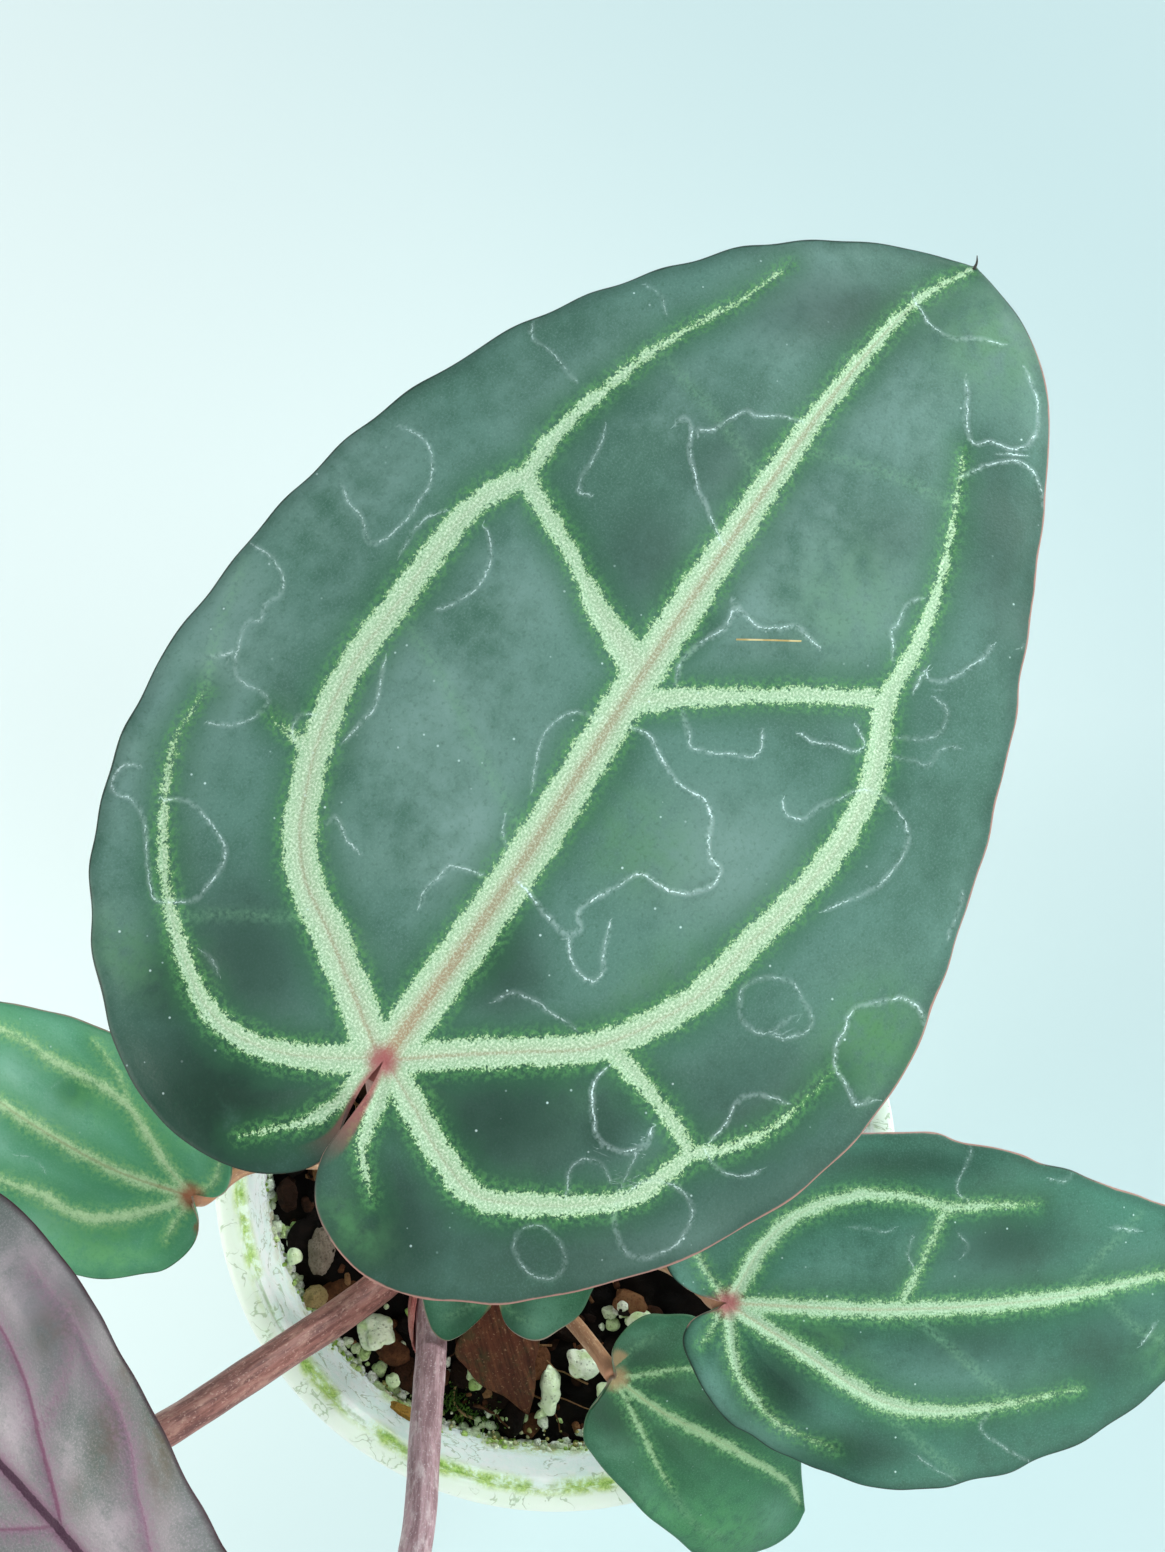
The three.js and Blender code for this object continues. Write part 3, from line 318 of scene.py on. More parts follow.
# Dried edges of water marks: the strength of each, and the pixels of the photograph along it
WATER_MARKS = {
    "a": [
        (0.5, [(532, 788), (538, 752), (551, 725), (576, 713), (598, 718)]),
        (1.0, [(634, 728), (650, 737), (665, 765), (685, 790), (705, 800), (711, 820), (707, 850),
             (712, 862), (720, 868), (714, 884), (698, 891), (672, 893), (657, 884), (640, 874),
             (612, 889), (592, 900), (578, 912), (581, 930), (568, 935), (550, 920), (530, 895),
             (517, 880)]),
        (0.8, [(568, 935), (570, 955), (578, 973), (592, 982), (602, 974), (603, 950),
             (610, 925)]),
        (0.9, [(676, 680), (679, 665), (700, 643), (722, 630), (730, 618), (733, 603), (748, 620),
             (762, 629), (778, 630), (796, 627), (806, 637), (816, 646)]),
        (0.7, [(683, 715), (689, 735), (690, 747), (710, 752), (735, 755), (755, 757), (761, 748),
             (762, 735)]),
        (0.7, [(802, 735), (815, 742), (840, 748), (862, 750), (864, 742), (858, 728)]),
        (0.7, [(783, 803), (786, 815), (803, 820), (808, 816), (818, 808), (840, 798), (868, 790),
             (885, 797), (898, 812), (908, 838), (900, 858), (885, 880), (862, 895), (826, 910)]),
        (0.8, [(893, 655), (893, 642), (890, 633), (899, 622), (906, 605), (920, 598)]),
        (0.8, [(915, 690), (925, 668), (930, 680), (942, 682), (952, 678), (970, 668), (985, 655),
             (990, 648)]),
        (0.5, [(1020, 648), (1028, 642), (1034, 622)]),
        (0.8, [(915, 297), (925, 315), (938, 332), (955, 340), (985, 340), (1000, 345)]),
        (0.9, [(966, 380), (968, 430), (975, 443), (990, 442), (1000, 445), (1010, 450),
             (1025, 448), (1035, 435), (1038, 410), (1034, 390), (1025, 372)]),
        (0.9, [(962, 475), (985, 465), (1015, 462), (1033, 470), (1042, 485), (1044, 502)]),
        (0.9, [(676, 425), (685, 418), (692, 428), (689, 445), (692, 465), (697, 490), (706, 505),
             (714, 525), (722, 540)]),
        (0.8, [(692, 428), (712, 430), (730, 420), (745, 412), (755, 416), (780, 416),
             (800, 420)]),
        (0.5, [(540, 310), (532, 325), (535, 340), (552, 350), (558, 360), (575, 377)]),
        (0.35, [(648, 285), (660, 295), (665, 310)]),
        (0.55, [(344, 490), (350, 505), (362, 520), (370, 545), (385, 540), (400, 528),
             (420, 500), (432, 480), (430, 455), (418, 438), (402, 430)]),
        (0.45, [(445, 510), (432, 515), (415, 530), (400, 555)]),
        (0.5, [(604, 428), (600, 445), (590, 465), (580, 480), (578, 492), (588, 494)]),
        (0.6, [(486, 527), (491, 550), (486, 575), (475, 590), (460, 602), (440, 610)]),
        (0.7, [(385, 660), (381, 680), (376, 705), (362, 722), (345, 740)]),
        (0.6, [(255, 545), (270, 558), (283, 575), (280, 595), (264, 605), (262, 620), (248, 622),
             (240, 640), (238, 648), (215, 655)]),
        (0.5, [(235, 655), (236, 675), (250, 685), (270, 698), (262, 710), (245, 720), (225, 725),
             (210, 722)]),
        (0.5, [(292, 735), (292, 722), (300, 715), (312, 714)]),
        (0.7, [(165, 800), (185, 800), (200, 812), (215, 830), (225, 850), (218, 875), (205, 890),
             (195, 900), (175, 902), (155, 900), (148, 870), (146, 840), (143, 815), (130, 798),
             (113, 792), (113, 778), (125, 764), (136, 766)]),
        (0.6, [(420, 905), (425, 890), (440, 875), (448, 866), (462, 868), (480, 875)]),
        (0.6, [(330, 820), (335, 817), (343, 825), (345, 838), (356, 850)]),
        (0.5, [(505, 820), (503, 835), (508, 850)]),
        (0.4, [(203, 952), (215, 965), (218, 972)]),
        (0.9, [(875, 1100), (862, 1103), (854, 1105), (851, 1098), (845, 1085), (836, 1070),
             (837, 1045), (845, 1030), (850, 1012), (862, 1005), (880, 1003), (905, 997),
             (922, 1008), (926, 1025), (922, 1045)]),
        (0.55, [(790, 1018), (775, 1030), (758, 1033), (745, 1025), (740, 1008), (742, 990),
             (755, 980), (775, 977), (792, 982), (803, 1000), (812, 1020), (806, 1032),
             (790, 1038), (775, 1037)]),
        (0.9, [(606, 1068), (594, 1080), (592, 1100), (594, 1125), (598, 1140), (610, 1148),
             (630, 1152), (645, 1145), (652, 1130)]),
        (0.75, [(711, 1140), (725, 1125), (735, 1105), (745, 1095), (765, 1095), (785, 1102)]),
        (0.55, [(706, 1152), (712, 1163), (725, 1172), (742, 1177), (758, 1170)]),
        (0.6, [(640, 1183), (625, 1195), (616, 1210), (618, 1235), (625, 1250), (645, 1258),
             (670, 1250), (685, 1235), (692, 1215), (685, 1195), (672, 1185), (655, 1180),
             (640, 1183)]),
        (0.4, [(514, 1248), (517, 1235), (530, 1226), (548, 1230), (562, 1245), (565, 1265),
             (555, 1278), (540, 1278), (525, 1270), (514, 1248)]),
        (0.5, [(495, 1000), (512, 992), (530, 998), (545, 1008), (560, 1018), (575, 1028)]),
        (0.4, [(566, 1195), (570, 1170), (585, 1158), (600, 1163), (610, 1180)]),
        (0.8, [(964, 895), (960, 912), (950, 935)]),
        (0.4, [(935, 700), (945, 710), (938, 735), (920, 740), (895, 737)]),
        (0.35, [(895, 757), (915, 762), (925, 768), (938, 750), (955, 748)]),
        (0.35, [(640, 1145), (632, 1165), (618, 1190)]),
    ],
    "b": [
        (0.5, [(972, 1147), (965, 1165), (958, 1178), (957, 1192), (965, 1198)]),
        (0.7, [(988, 1417), (982, 1425), (985, 1435), (1000, 1443), (1010, 1452), (1030, 1462)]),
        (0.4, [(912, 1240), (908, 1255), (913, 1268)]),
        (0.35, [(960, 1235), (968, 1245), (963, 1255)]),
        (0.35, [(915, 1455), (935, 1468), (955, 1480)]),
        (0.7, [(1155, 1325), (1148, 1335), (1140, 1343)]),
        (0.35, [(850, 1227), (870, 1228), (885, 1232), (895, 1228)]),
        (0.8, [(1112, 1227), (1125, 1229), (1137, 1231)]),
        (0.5, [(1052, 1180), (1068, 1182), (1070, 1175)]),
    ],
    "c": [
        (0.5, [(18, 1155), (35, 1160), (45, 1170)]),
        (0.3, [(55, 1085), (75, 1072), (95, 1085)]),
    ],
}

DRY_SHEATH = dict(
    junction=(-12.2, -26, 103.6), tip=(-5.4, -51, 98.2), arch=2.4, fold=0, curl=0.012, lap=0, wave=0.4,
    midrib=[(0, 0), (26.5, 0)],
    left=[(0, 0.8), (4, 4.6), (9, 6.4), (15, 4.6), (21, 2.4), (26.5, 0)],
    right=[(0, -0.8), (4, -6), (8.5, -10), (14, -8.8), (20, -4.4), (26.5, 0)],
    rays=90, rings=30, relief=0.7, veins=[], painted_sheen=[], glow=[], painted_shade=[], blush=[],
)

# The fresh sheath round the foot of stalk f: its length as a share of the stalk's, and its angles in degrees
YOUNG_SHEATH = dict(length=0.2, thickness=0.7, facing=215, spread=230, tip_spread=70, rows=60)


def colour(code):
    """A colour written as #rrggbb, as Blender's linear red, green, blue and alpha."""
    channels = [int(code[i : i + 2], 16) / 255 for i in (1, 3, 5)]
    return (*[c / 12.92 if c <= 0.04045 else ((c + 0.055) / 1.055) ** 2.4 for c in channels], 1.0)


class Finish:
    """A material that is put together node by node."""

    def __init__(self, name, roughness=0.5, **sockets):
        self.material = bpy.data.materials.new(name)
        self.material.use_nodes = True
        self.tree = self.material.node_tree
        self.shader = self.tree.nodes["Principled BSDF"]
        self.shader.inputs["Roughness"].default_value = roughness
        for socket, value in sockets.items():
            self.shader.inputs[socket.replace("_", " ")].default_value = value

    def node(self, kind, **settings):
        made = self.tree.nodes.new("ShaderNode" + kind)
        for key, value in settings.items():
            setattr(made, key, value)
        return made

    def link(self, source, target):
        if isinstance(source, bpy.types.NodeSocket):
            self.tree.links.new(source, target)
        else:
            target.default_value = source

    def calc(self, operation, a, b=0.0, c=0.0):
        made = self.node("Math", operation=operation)
        for source, socket in zip((a, b, c), made.inputs):
            self.link(source, socket)
        return made.outputs[0]

    def vector(self, operation, a, b):
        made = self.node("VectorMath", operation=operation)
        self.link(a, made.inputs[0])
        self.link(b, made.inputs[3] if operation == "SCALE" else made.inputs[1])
        return made.outputs[0]

    def step(self, value, low, high):
        """0 up to low, 1 from high on, smooth between them; high may be under low."""
        made = self.node("MapRange", interpolation_type="SMOOTHSTEP")
        turned = low > high
        self.link(value, made.inputs["Value"])
        made.inputs["From Min"].default_value = high if turned else low
        made.inputs["From Max"].default_value = low if turned else high
        made.inputs["To Min"].default_value = 1.0 if turned else 0.0
        made.inputs["To Max"].default_value = 0.0 if turned else 1.0
        return made.outputs["Result"]

    def mix(self, factor, a, b):
        made = self.node("Mix", data_type="RGBA")
        for source, socket in ((factor, "Factor_Float"), (a, "A_Color"), (b, "B_Color")):
            self.link(source, next(s for s in made.inputs if s.identifier == socket))
        return next(s for s in made.outputs if s.identifier == "Result_Color")

    def part(self, *factors):
        """The product of all the factors."""
        product = factors[0]
        for factor in factors[1:]:
            product = self.calc("MULTIPLY", product, factor)
        return product

    def layer(self, base, code, *shares):
        """The base with a colour laid over it, as strongly as the product of the shares."""
        return self.mix(self.part(*shares), base, colour(code))

    def split(self, vector):
        """The x, y and z of a vector."""
        made = self.node("SeparateXYZ")
        self.link(vector, made.inputs[0])
        return made.outputs

    def length(self, x, y):
        return self.calc("SQRT", self.calc("ADD", self.calc("POWER", x, 2), self.calc("POWER", y, 2)))

    def off(self, value, middle):
        """How far a value is from a middle one, either way."""
        return self.calc("ABSOLUTE", self.calc("SUBTRACT", value, middle))

    def noise(self, at, scale, detail=2.0, roughness=0.5, distortion=0.0):
        made = self.node("TexNoise")
        self.link(at, made.inputs["Vector"])
        made.inputs["Scale"].default_value = scale
        made.inputs["Detail"].default_value = detail
        made.inputs["Roughness"].default_value = roughness
        made.inputs["Distortion"].default_value = distortion
        return made.outputs["Fac"]

    def cells(self, at, scale):
        made = self.node("TexVoronoi")
        self.link(at, made.inputs["Vector"])
        made.inputs["Scale"].default_value = scale
        return made

    def value(self, name):
        return self.node("Attribute", attribute_name=name).outputs["Fac"]

    def place(self, name):
        return self.node("Attribute", attribute_name=name).outputs["Vector"]

    def position(self):
        """The place on the object, in millimetres."""
        return self.vector("SCALE", self.node("TexCoord").outputs["Object"], 1 / MM)

    def bump(self, height, strength, distance=0.0003):
        made = self.node("Bump")
        made.inputs["Strength"].default_value = strength
        made.inputs["Distance"].default_value = distance
        self.link(height, made.inputs["Height"])
        self.link(made.outputs["Normal"], self.shader.inputs["Normal"])

    def paint(self, base, roughness=None):
        self.link(base, self.shader.inputs["Base Color"])
        if roughness is not None:
            self.link(roughness, self.shader.inputs["Roughness"])
        return self.material


def smooth(value):
    t = np.clip(value, 0, 1)
    return t * t * (3 - 2 * t)


def spline(points, count=None, step=None):
    """A centripetal Catmull-Rom curve through the points, as points that are evenly spaced along it."""
    p = np.asarray(points, float)
    p = np.vstack([2 * p[0] - p[1], p, 2 * p[-1] - p[-2]])
    pieces = []
    for a, b, c, d in zip(p, p[1:], p[2:], p[3:]):
        gap_1, gap_2, gap_3 = (max(np.sqrt(np.linalg.norm(y - x)), 1e-4) for x, y in ((a, b), (b, c), (c, d)))
        slope_1 = ((b - a) / gap_1 - (c - a) / (gap_1 + gap_2) + (c - b) / gap_2) * gap_2
        slope_2 = ((c - b) / gap_2 - (d - b) / (gap_2 + gap_3) + (d - c) / gap_3) * gap_2
        t = np.linspace(0, 1, 60, endpoint=False)[:, None]
        pieces.append(
            b + slope_1 * t + (3 * (c - b) - 2 * slope_1 - slope_2) * t**2
            + (2 * (b - c) + slope_1 + slope_2) * t**3
        )
    dense = np.vstack([*pieces, p[-2:-1]])
    run = np.concatenate([[0], np.cumsum(np.linalg.norm(np.diff(dense, axis=0), axis=1))])
    count = count or max(2, math.ceil(run[-1] / step))
    at = np.linspace(0, run[-1], count + 1)
    return np.column_stack([np.interp(at, run, dense[:, i]) for i in range(dense.shape[1])])


def point_on(line, share):
    """Points at shares of the length of an evenly spaced line."""
    at = np.asarray(share) * (len(line) - 1)
    return np.column_stack([np.interp(at, np.arange(len(line)), line[:, i]) for i in range(line.shape[1])])


def ripple(seed, wavelength, *coordinates):
    """A smooth random height between about -1 and 1, made of eight sine waves."""
    random = np.random.default_rng(seed)
    total = 0.0
    for _ in range(8):
        direction = random.normal(size=len(coordinates))
        direction /= np.linalg.norm(direction)
        pitch = 2 * np.pi / (wavelength * random.uniform(0.7, 1.5))
        along = sum(d * c for d, c in zip(direction, coordinates))
        total = total + np.sin(pitch * along + random.uniform(0, 6.3))
    return total / 4


def make_mesh(name, points, faces, materials, face_material=None, values=None, places=None):
    """A mesh object from points in millimetres, with its per-point values and places for the materials."""
    mesh = bpy.data.meshes.new(name)
    mesh.from_pydata((np.asarray(points) * MM).tolist(), [], np.asarray(faces).tolist())
    for material in materials:
        mesh.materials.append(material)
    if face_material is not None:
        mesh.polygons.foreach_set("material_index", np.asarray(face_material, np.int32))
    for key, numbers in (values or {}).items():
        data = np.asarray(numbers, np.float32)
        mesh.attributes.new(key, "FLOAT", "POINT").data.foreach_set("value", data)
    for key, vectors in (places or {}).items():
        data = np.asarray(vectors, np.float32).ravel()
        mesh.attributes.new(key, "FLOAT_VECTOR", "POINT").data.foreach_set("vector", data)
    mesh.shade_smooth()
    mesh.validate()
    made = bpy.data.objects.new(name, mesh)
    bpy.context.scene.collection.objects.link(made)
    return made


def piece(made, slot, *nodes):
    """Ties a made object to the frame: it rides on the one body, and may stand for CAD nodes."""
    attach(made, "root")
    if nodes:
        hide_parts(*nodes)
    return made


def grid_faces(rows, columns, closed=False):
    """Two triangles for each cell of a grid of points; closed joins the last column to the first."""
    i, j = np.meshgrid(np.arange(rows - 1), np.arange(columns if closed else columns - 1), indexing="ij")
    a = (i * columns + j).ravel()
    b = (i * columns + (j + 1) % columns).ravel()
    return np.vstack([np.column_stack([a, b, b + columns]), np.column_stack([a, b + columns, a + columns])])


def turned_faces(rows, around):
    """The faces of a closed body of rings; the middle of each of its two ends follows the rings' points."""
    ring = np.arange(around)
    turn = (ring + 1) % around
    last = (rows - 1) * around
    middle = np.full(around, rows * around)
    return np.vstack([
        grid_faces(rows, around, closed=True),
        np.column_stack([middle, turn, ring]),
        np.column_stack([middle + 1, last + ring, last + turn]),
    ])


def fan_caps(around, last):
    """A flat fan of triangles over the first ring of a tube and one over its last."""
    fan = np.arange(1, around - 1)
    return np.vstack([
        np.column_stack([0 * fan, fan + 1, fan]),
        np.column_stack([last + 0 * fan, last + fan, last + fan + 1]),
    ])


def circle(count):
    """The angles of so many points, evenly round a circle."""
    return 2 * np.pi * np.arange(count) / count


def round_points(radius, angle, level):
    """Points at a radius from the axis, an angle and a height each."""
    x, y = radius * np.cos(angle), radius * np.sin(angle)
    return np.column_stack([x.ravel(), y.ravel(), level.ravel()])


def turn_about_z(angle):
    cos, sin = math.cos(angle), math.sin(angle)
    return np.array([[cos, -sin, 0], [sin, cos, 0], [0, 0, 1]])


def evaluated_mesh(thing):
    """A new mesh of an object with its modifiers applied."""
    return bpy.data.meshes.new_from_object(thing.evaluated_get(bpy.context.evaluated_depsgraph_get()))


def thicken(top, under, faces):
    """Closes a sheet: the same triangles on its other face, and a wall round every free edge.

    Gives points, faces and for each face 0 on top, 1 underneath and 2 on the wall."""
    count = len(top)
    directed = np.vstack([faces[:, [0, 1]], faces[:, [1, 2]], faces[:, [2, 0]]])
    lookup = set(map(tuple, directed.tolist()))
    free = np.array([edge for edge in lookup if (edge[1], edge[0]) not in lookup])
    free = free[np.lexsort(free.T)]
    start, end = free.T
    wall = np.vstack([
        np.column_stack([end, start, start + count]),
        np.column_stack([end, start + count, end + count]),
    ])
    kinds = np.repeat([0, 1, 2], [len(faces), len(faces), len(wall)])
    return np.vstack([top, under]), np.vstack([faces, faces[:, ::-1] + count, wall]), kinds


def plane_of(leaf):
    """A leaf's plane: its origin at the stalk, its axes u and v, its normal, and the length to the tip."""
    origin = np.array(leaf["junction"], float)
    u = np.array(leaf["tip"], float) - origin
    length = np.linalg.norm(u)
    u /= length
    v = np.cross(UP, u)
    v /= np.linalg.norm(v)
    return origin, u, v, np.cross(u, v), length


def arched(leaf, length, u, v):
    """The height of a blade over its plane, apart from its waves."""
    arch = leaf["arch"] * np.sin(np.pi * np.clip(u / length, -0.3, 1.1))
    return arch + (leaf["fold"] * np.abs(v) - leaf["curl"] * v * v)


def picked_on(leaf, pixels):
    """Where pixels of the photograph lie on a leaf, found by following each pixel's ray to its surface."""
    origin, u_axis, v_axis, normal, length = plane_of(leaf)
    x, y = np.array(pixels, float).T
    ray = np.column_stack([
        x - PHOTO_WIDTH / 2, PHOTO_HEIGHT / 2 - y, np.full(len(x), -FOCAL_LENGTH / SENSOR * PHOTO_HEIGHT),
    ])
    from_camera = origin - CAMERA_AT
    height = np.zeros(len(x))
    for _ in range(12):
        reach = (from_camera @ normal + height) / (ray @ normal)
        at = ray * reach[:, None] - from_camera
        u, v = at @ u_axis, at @ v_axis
        height = arched(leaf, length, u, v)
    return np.column_stack([u, v])


def blade_rows(leaf, side):
    """The blade's half as rays from its root line to its edge: leaf coordinates, reach and share along."""
    rays = leaf["rays"]
    edge = spline(leaf["left" if side > 0 else "right"], count=rays)
    along = np.arange(rays + 1) / rays
    midrib = spline(leaf["midrib"], step=0.5)
    notch = edge[0] * (1 - along / NOTCH_END)[:, None]
    later = point_on(midrib, np.clip((along - LOBE_END) / (1 - LOBE_END), 0, 1) ** 1.3)
    root = np.where((along < NOTCH_END)[:, None], notch, np.where((along <= LOBE_END)[:, None], 0.0, later))
    ray = edge - root
    reach_length = np.linalg.norm(ray, axis=1)
    margin = np.array([0.9, 0.45, 0.15, 0.0])
    inner = np.linspace(0, 1, leaf["rings"] - len(margin), endpoint=False) ** 0.9
    most = 1 - np.minimum(margin[0] * 1.6 / np.maximum(reach_length, 1e-6), 0.3)
    outer = 1 - np.minimum(margin / np.maximum(reach_length, 1e-6)[:, None], margin * 0.3 / 1.6)
    reach = np.hstack([inner * most[:, None], outer])
    at = root[:, None, :] + ray[:, None, :] * reach[:, :, None]
    away = (1 - reach) * reach_length[:, None]
    return at, reach, np.repeat(along[:, None], reach.shape[1], axis=1), away


def nearest_vein(points, line):
    """Signed distance from each point to a line, and the share of the line where it is nearest."""
    start, step = line[:-1], np.diff(line, axis=0)
    away = points[:, None, :] - start[None]
    t = np.clip((away * step).sum(2) / (step * step).sum(1), 0, 1)
    off = away - t[:, :, None] * step
    squared = (off * off).sum(2)
    best = squared.argmin(1)
    rows = np.arange(len(points))
    cross = step[best, 0] * away[rows, best, 1] - step[best, 1] * away[rows, best, 0]
    return np.where(cross < 0, -1, 1) * np.sqrt(squared[rows, best]), (best + t[rows, best]) / len(step)


def read_veins(leaf, points):
    """What the veins bring to each point of a blade: values for its material, and for its relief the
    distance to the nearest vein and the thickness of the ribs under it."""
    band = np.full(len(points), -FAR)
    main, core, spine = np.full((3, len(points)), FAR)
    faint, rib, core_width, spine_width = np.zeros((4, len(points)))
    for order, (first, middle, last, strength, line) in enumerate(leaf["veins"]):
        signed, share = nearest_vein(points, spline(line, step=1.2))
        distance = np.abs(signed)
        half = np.interp(share, [0, 0.5, 1], [first, middle, last])
        if middle < FAINT_BAND:
            faint = np.maximum(faint, (0.4 + half) * np.exp(-((distance / 0.9) ** 2)))
            continue
        band = np.maximum(band, half - distance)
        main = np.minimum(main, distance)
        rib = np.maximum(rib, (0.12 + 0.3 * half) * np.exp(-((distance / (0.5 + 0.35 * half)) ** 2)))
        if strength > 0:
            width = strength * np.interp(share, [0, 0.8, 1], [1, 0.45, 0.05])
            if order == 0:
                spine, spine_width = distance, width
            else:
                closer = distance < np.abs(core)
                core = np.where(closer, signed, core)
                core_width = np.where(closer, width, core_width)
    values = dict(band=band, faint=faint, core=core, core_near=np.abs(core), core_width=core_width,
                  spine=spine, spine_width=spine_width)
    return values, main, rib


def patches(points, rows):
    """How strong the soft patches are at each point."""
    total = np.zeros(len(points))
    for u, v, across_u, across_v, turn, strength in rows:
        angle = math.radians(turn)
        du, dv = points[:, 0] - u, points[:, 1] - v
        x = (du * math.cos(angle) + dv * math.sin(angle)) / across_u
        y = (dv * math.cos(angle) - du * math.sin(angle)) / across_v
        total = np.maximum(total, strength * np.exp(-((x * x + y * y) ** 1.2)))
    return total


def notch_edges(leaf, points):
    """1 along both edges of the notch next to the stalk, fading away from them and from the stalk."""
    left, right = (spline([(0, 0), *leaf[side][:3]], count=40) for side in ("left", "right"))
    distance, share = nearest_vein(points, (left + right) / 2)
    gap = np.interp(share, np.linspace(0, 1, 41), np.linalg.norm(left - right, axis=1) / 2)
    far = np.hypot(*points.T)
    width = 0.45 + 1.5 * np.exp(-far / 4)
    near = np.maximum(np.abs(distance) - 0.5 * gap, 0)
    return (1 - smooth(near / width)) * (1 - smooth((far - 5) / 13)) * (points[:, 0] < 1.5)


def read_marks(leaf, marks, points):
    """The dried edges of water marks: signed and plain distance to the nearest one, and its strength."""
    signed = np.full(len(points), FAR / 2)
    strength = np.zeros(len(points))
    for strong, pixels in marks:
        distance, _ = nearest_vein(points, spline(picked_on(leaf, pixels), step=0.8))
        closer = np.abs(distance) < np.abs(signed)
        signed = np.where(closer, distance, signed)
        strength = np.where(closer, strong, strength)
    return dict(mark=signed, mark_near=np.abs(signed), mark_strength=strength)


def blade(leaf, seed, marks=()):
    """A whole blade: points, faces, which face is which, and what its materials read."""
    origin, u_axis, v_axis, normal, length = plane_of(leaf)
    sheets = []
    for side in (1, -1):
        at, reach, along, away = blade_rows(leaf, side)
        flat = at.reshape(-1, 2)
        columns = dict(
            at=flat, reach=reach.ravel(), along=along.ravel(), away=away.ravel(),
            side=np.full(len(flat), side, float),
        )
        faces = grid_faces(*reach.shape)
        sheets.append((columns, faces[:, ::-1] if side > 0 else faces))
    joined = {key: np.concatenate([sheets[0][0][key], sheets[1][0][key]]) for key in sheets[0][0]}
    faces = np.vstack([sheets[0][1], sheets[1][1] + len(sheets[0][0]["at"])])

    u, v = joined["at"].T
    height = arched(leaf, length, u, v)
    height += (
        leaf["wave"] * joined["reach"] ** 3 * np.sin(2 * np.pi * 3.5 * joined["along"] + joined["side"])
        * (1 - joined["along"] ** 4)
    )
    height -= joined["side"] * leaf["lap"] * smooth((-u - 3) / 8) * np.exp(-((v / 9) ** 2))

    keys = np.round(np.column_stack([u, v, height]) * 1000).astype(np.int64)
    _, first, same = np.unique(keys, axis=0, return_index=True, return_inverse=True)
    same = same.ravel()
    faces = same[faces]
    distinct = (faces[:, 0] != faces[:, 1]) & (faces[:, 1] != faces[:, 2]) & (faces[:, 0] != faces[:, 2])
    faces = faces[distinct]
    points = joined["at"][first]
    u, v = points.T
    away, reach, along = joined["away"][first], joined["reach"][first], joined["along"][first]

    values, main, rib = read_veins(leaf, points)
    values["rim"] = away
    # Soft patches for the material: painted sheen, a glow that is partly painted light, painted shade, and
    # blush.
    for kind in ("painted_sheen", "glow", "painted_shade", "blush"):
        values[kind] = patches(points, leaf[kind])
    values["sinus"] = notch_edges(leaf, points)
    values.update(read_marks(leaf, marks, points))

    raised = leaf["relief"] * (0.5 - np.exp(-((main / 5) ** 2))) * smooth(away / 5)
    raised += 0.35 * leaf["relief"] * ripple(seed, 14, u, v) * smooth(main / 6)
    raised -= 0.35 * leaf["relief"] * np.exp(-((main / 0.7) ** 2))
    raised += 0.5 * leaf["relief"] * ripple(seed + 1, 13, u, v) * reach**8
    rounded = 0.28 * (1 - smooth(away / 0.5))
    shift = 0.45 * reach**6 * ripple(seed + 2, 9, u, v) * (1 - along**8) * smooth((along - 0.1) / 0.1)
    spread = points * (1 + (shift / np.maximum(np.hypot(u, v), 6))[:, None])

    def lift(up):
        """The blade's points, raised off its curved middle surface."""
        return (
            origin + spread[:, :1] * u_axis + spread[:, 1:] * v_axis
            + (height[first] + up)[:, None] * normal
        )

    thickness = BLADE * (0.45 + 0.55 * smooth(away / 1.2)) + 1.6 * rib * smooth(away / 2)
    thickness += np.where((reach == 0) & (along > NOTCH_END), KEEL * 0.6 * (1 - along), 0.0)
    body, closed, kinds = thicken(lift(raised - rounded), lift(raised - thickness), faces)
    doubled = {key: np.concatenate([numbers, numbers]) for key, numbers in values.items()}
    leaf_place = np.column_stack([u, v, np.full(len(u), 10.0 * seed)])
    return body, closed, kinds, doubled, np.vstack([leaf_place, leaf_place])


# Colours of a grown leaf, the one to the right, a small one, the small one at the left, and the newest one.
# In each, the pale milky tone is painted sheen, laid in patches and as fine sparkle, and the shade tone is
# painted shade.
GROWN = dict(
    deep="#244d39", lamina="#547c70", sheen_colour="#7a9993", shade="#112f23", verdant="#285c3b", fringe="#559353",
    lime="#92be76", glow="#4c7f52", band="#9bc09b", band_bright="#d8ead2", band_core="#abb9a0",
    core="#94785c", core_warm="#a3795c", junction="#9d5559", rim="#ab8076", edge="#26372f", margin="#1c3c30",
    mark="#dcf4f4", under="#8fa58c", under_vein="#b78d80", faint="#6f9f7c",
)
RIGHT = dict(GROWN, deep="#1c4836", lamina="#3d705e", sheen_colour="#68948a", band="#a0c6a2", band_core="#acbca2",
             band_bright="#c9e2c6")
SMALL = dict(
    GROWN, deep="#1c4c34", lamina="#34704d", sheen_colour="#6b9c86", shade="#173d2b", verdant="#24603a",
    fringe="#57965a", lime="#7dab6c", glow="#4f935c", band="#97be91", band_bright="#b0d2a8",
    band_core="#9db283", core="#94805c", core_warm="#a08258", junction="#9c8460", rim="#a48f80",
    edge="#416a4c", margin="#1f4e38", faint="#6fa076",
)
LEFT = dict(
    SMALL, deep="#4b936d", lamina="#69b48f", sheen_colour="#93c6b4", shade="#2f6f4e", verdant="#3f8c54",
    fringe="#7cb876", lime="#a2cf8c", glow="#7cc684", band="#b6dcaa", band_bright="#c9e8bf",
    band_core="#b3d69c", core="#7f7a4a", core_warm="#96623f", junction="#9c5a40", margin="#3b7e58",
)
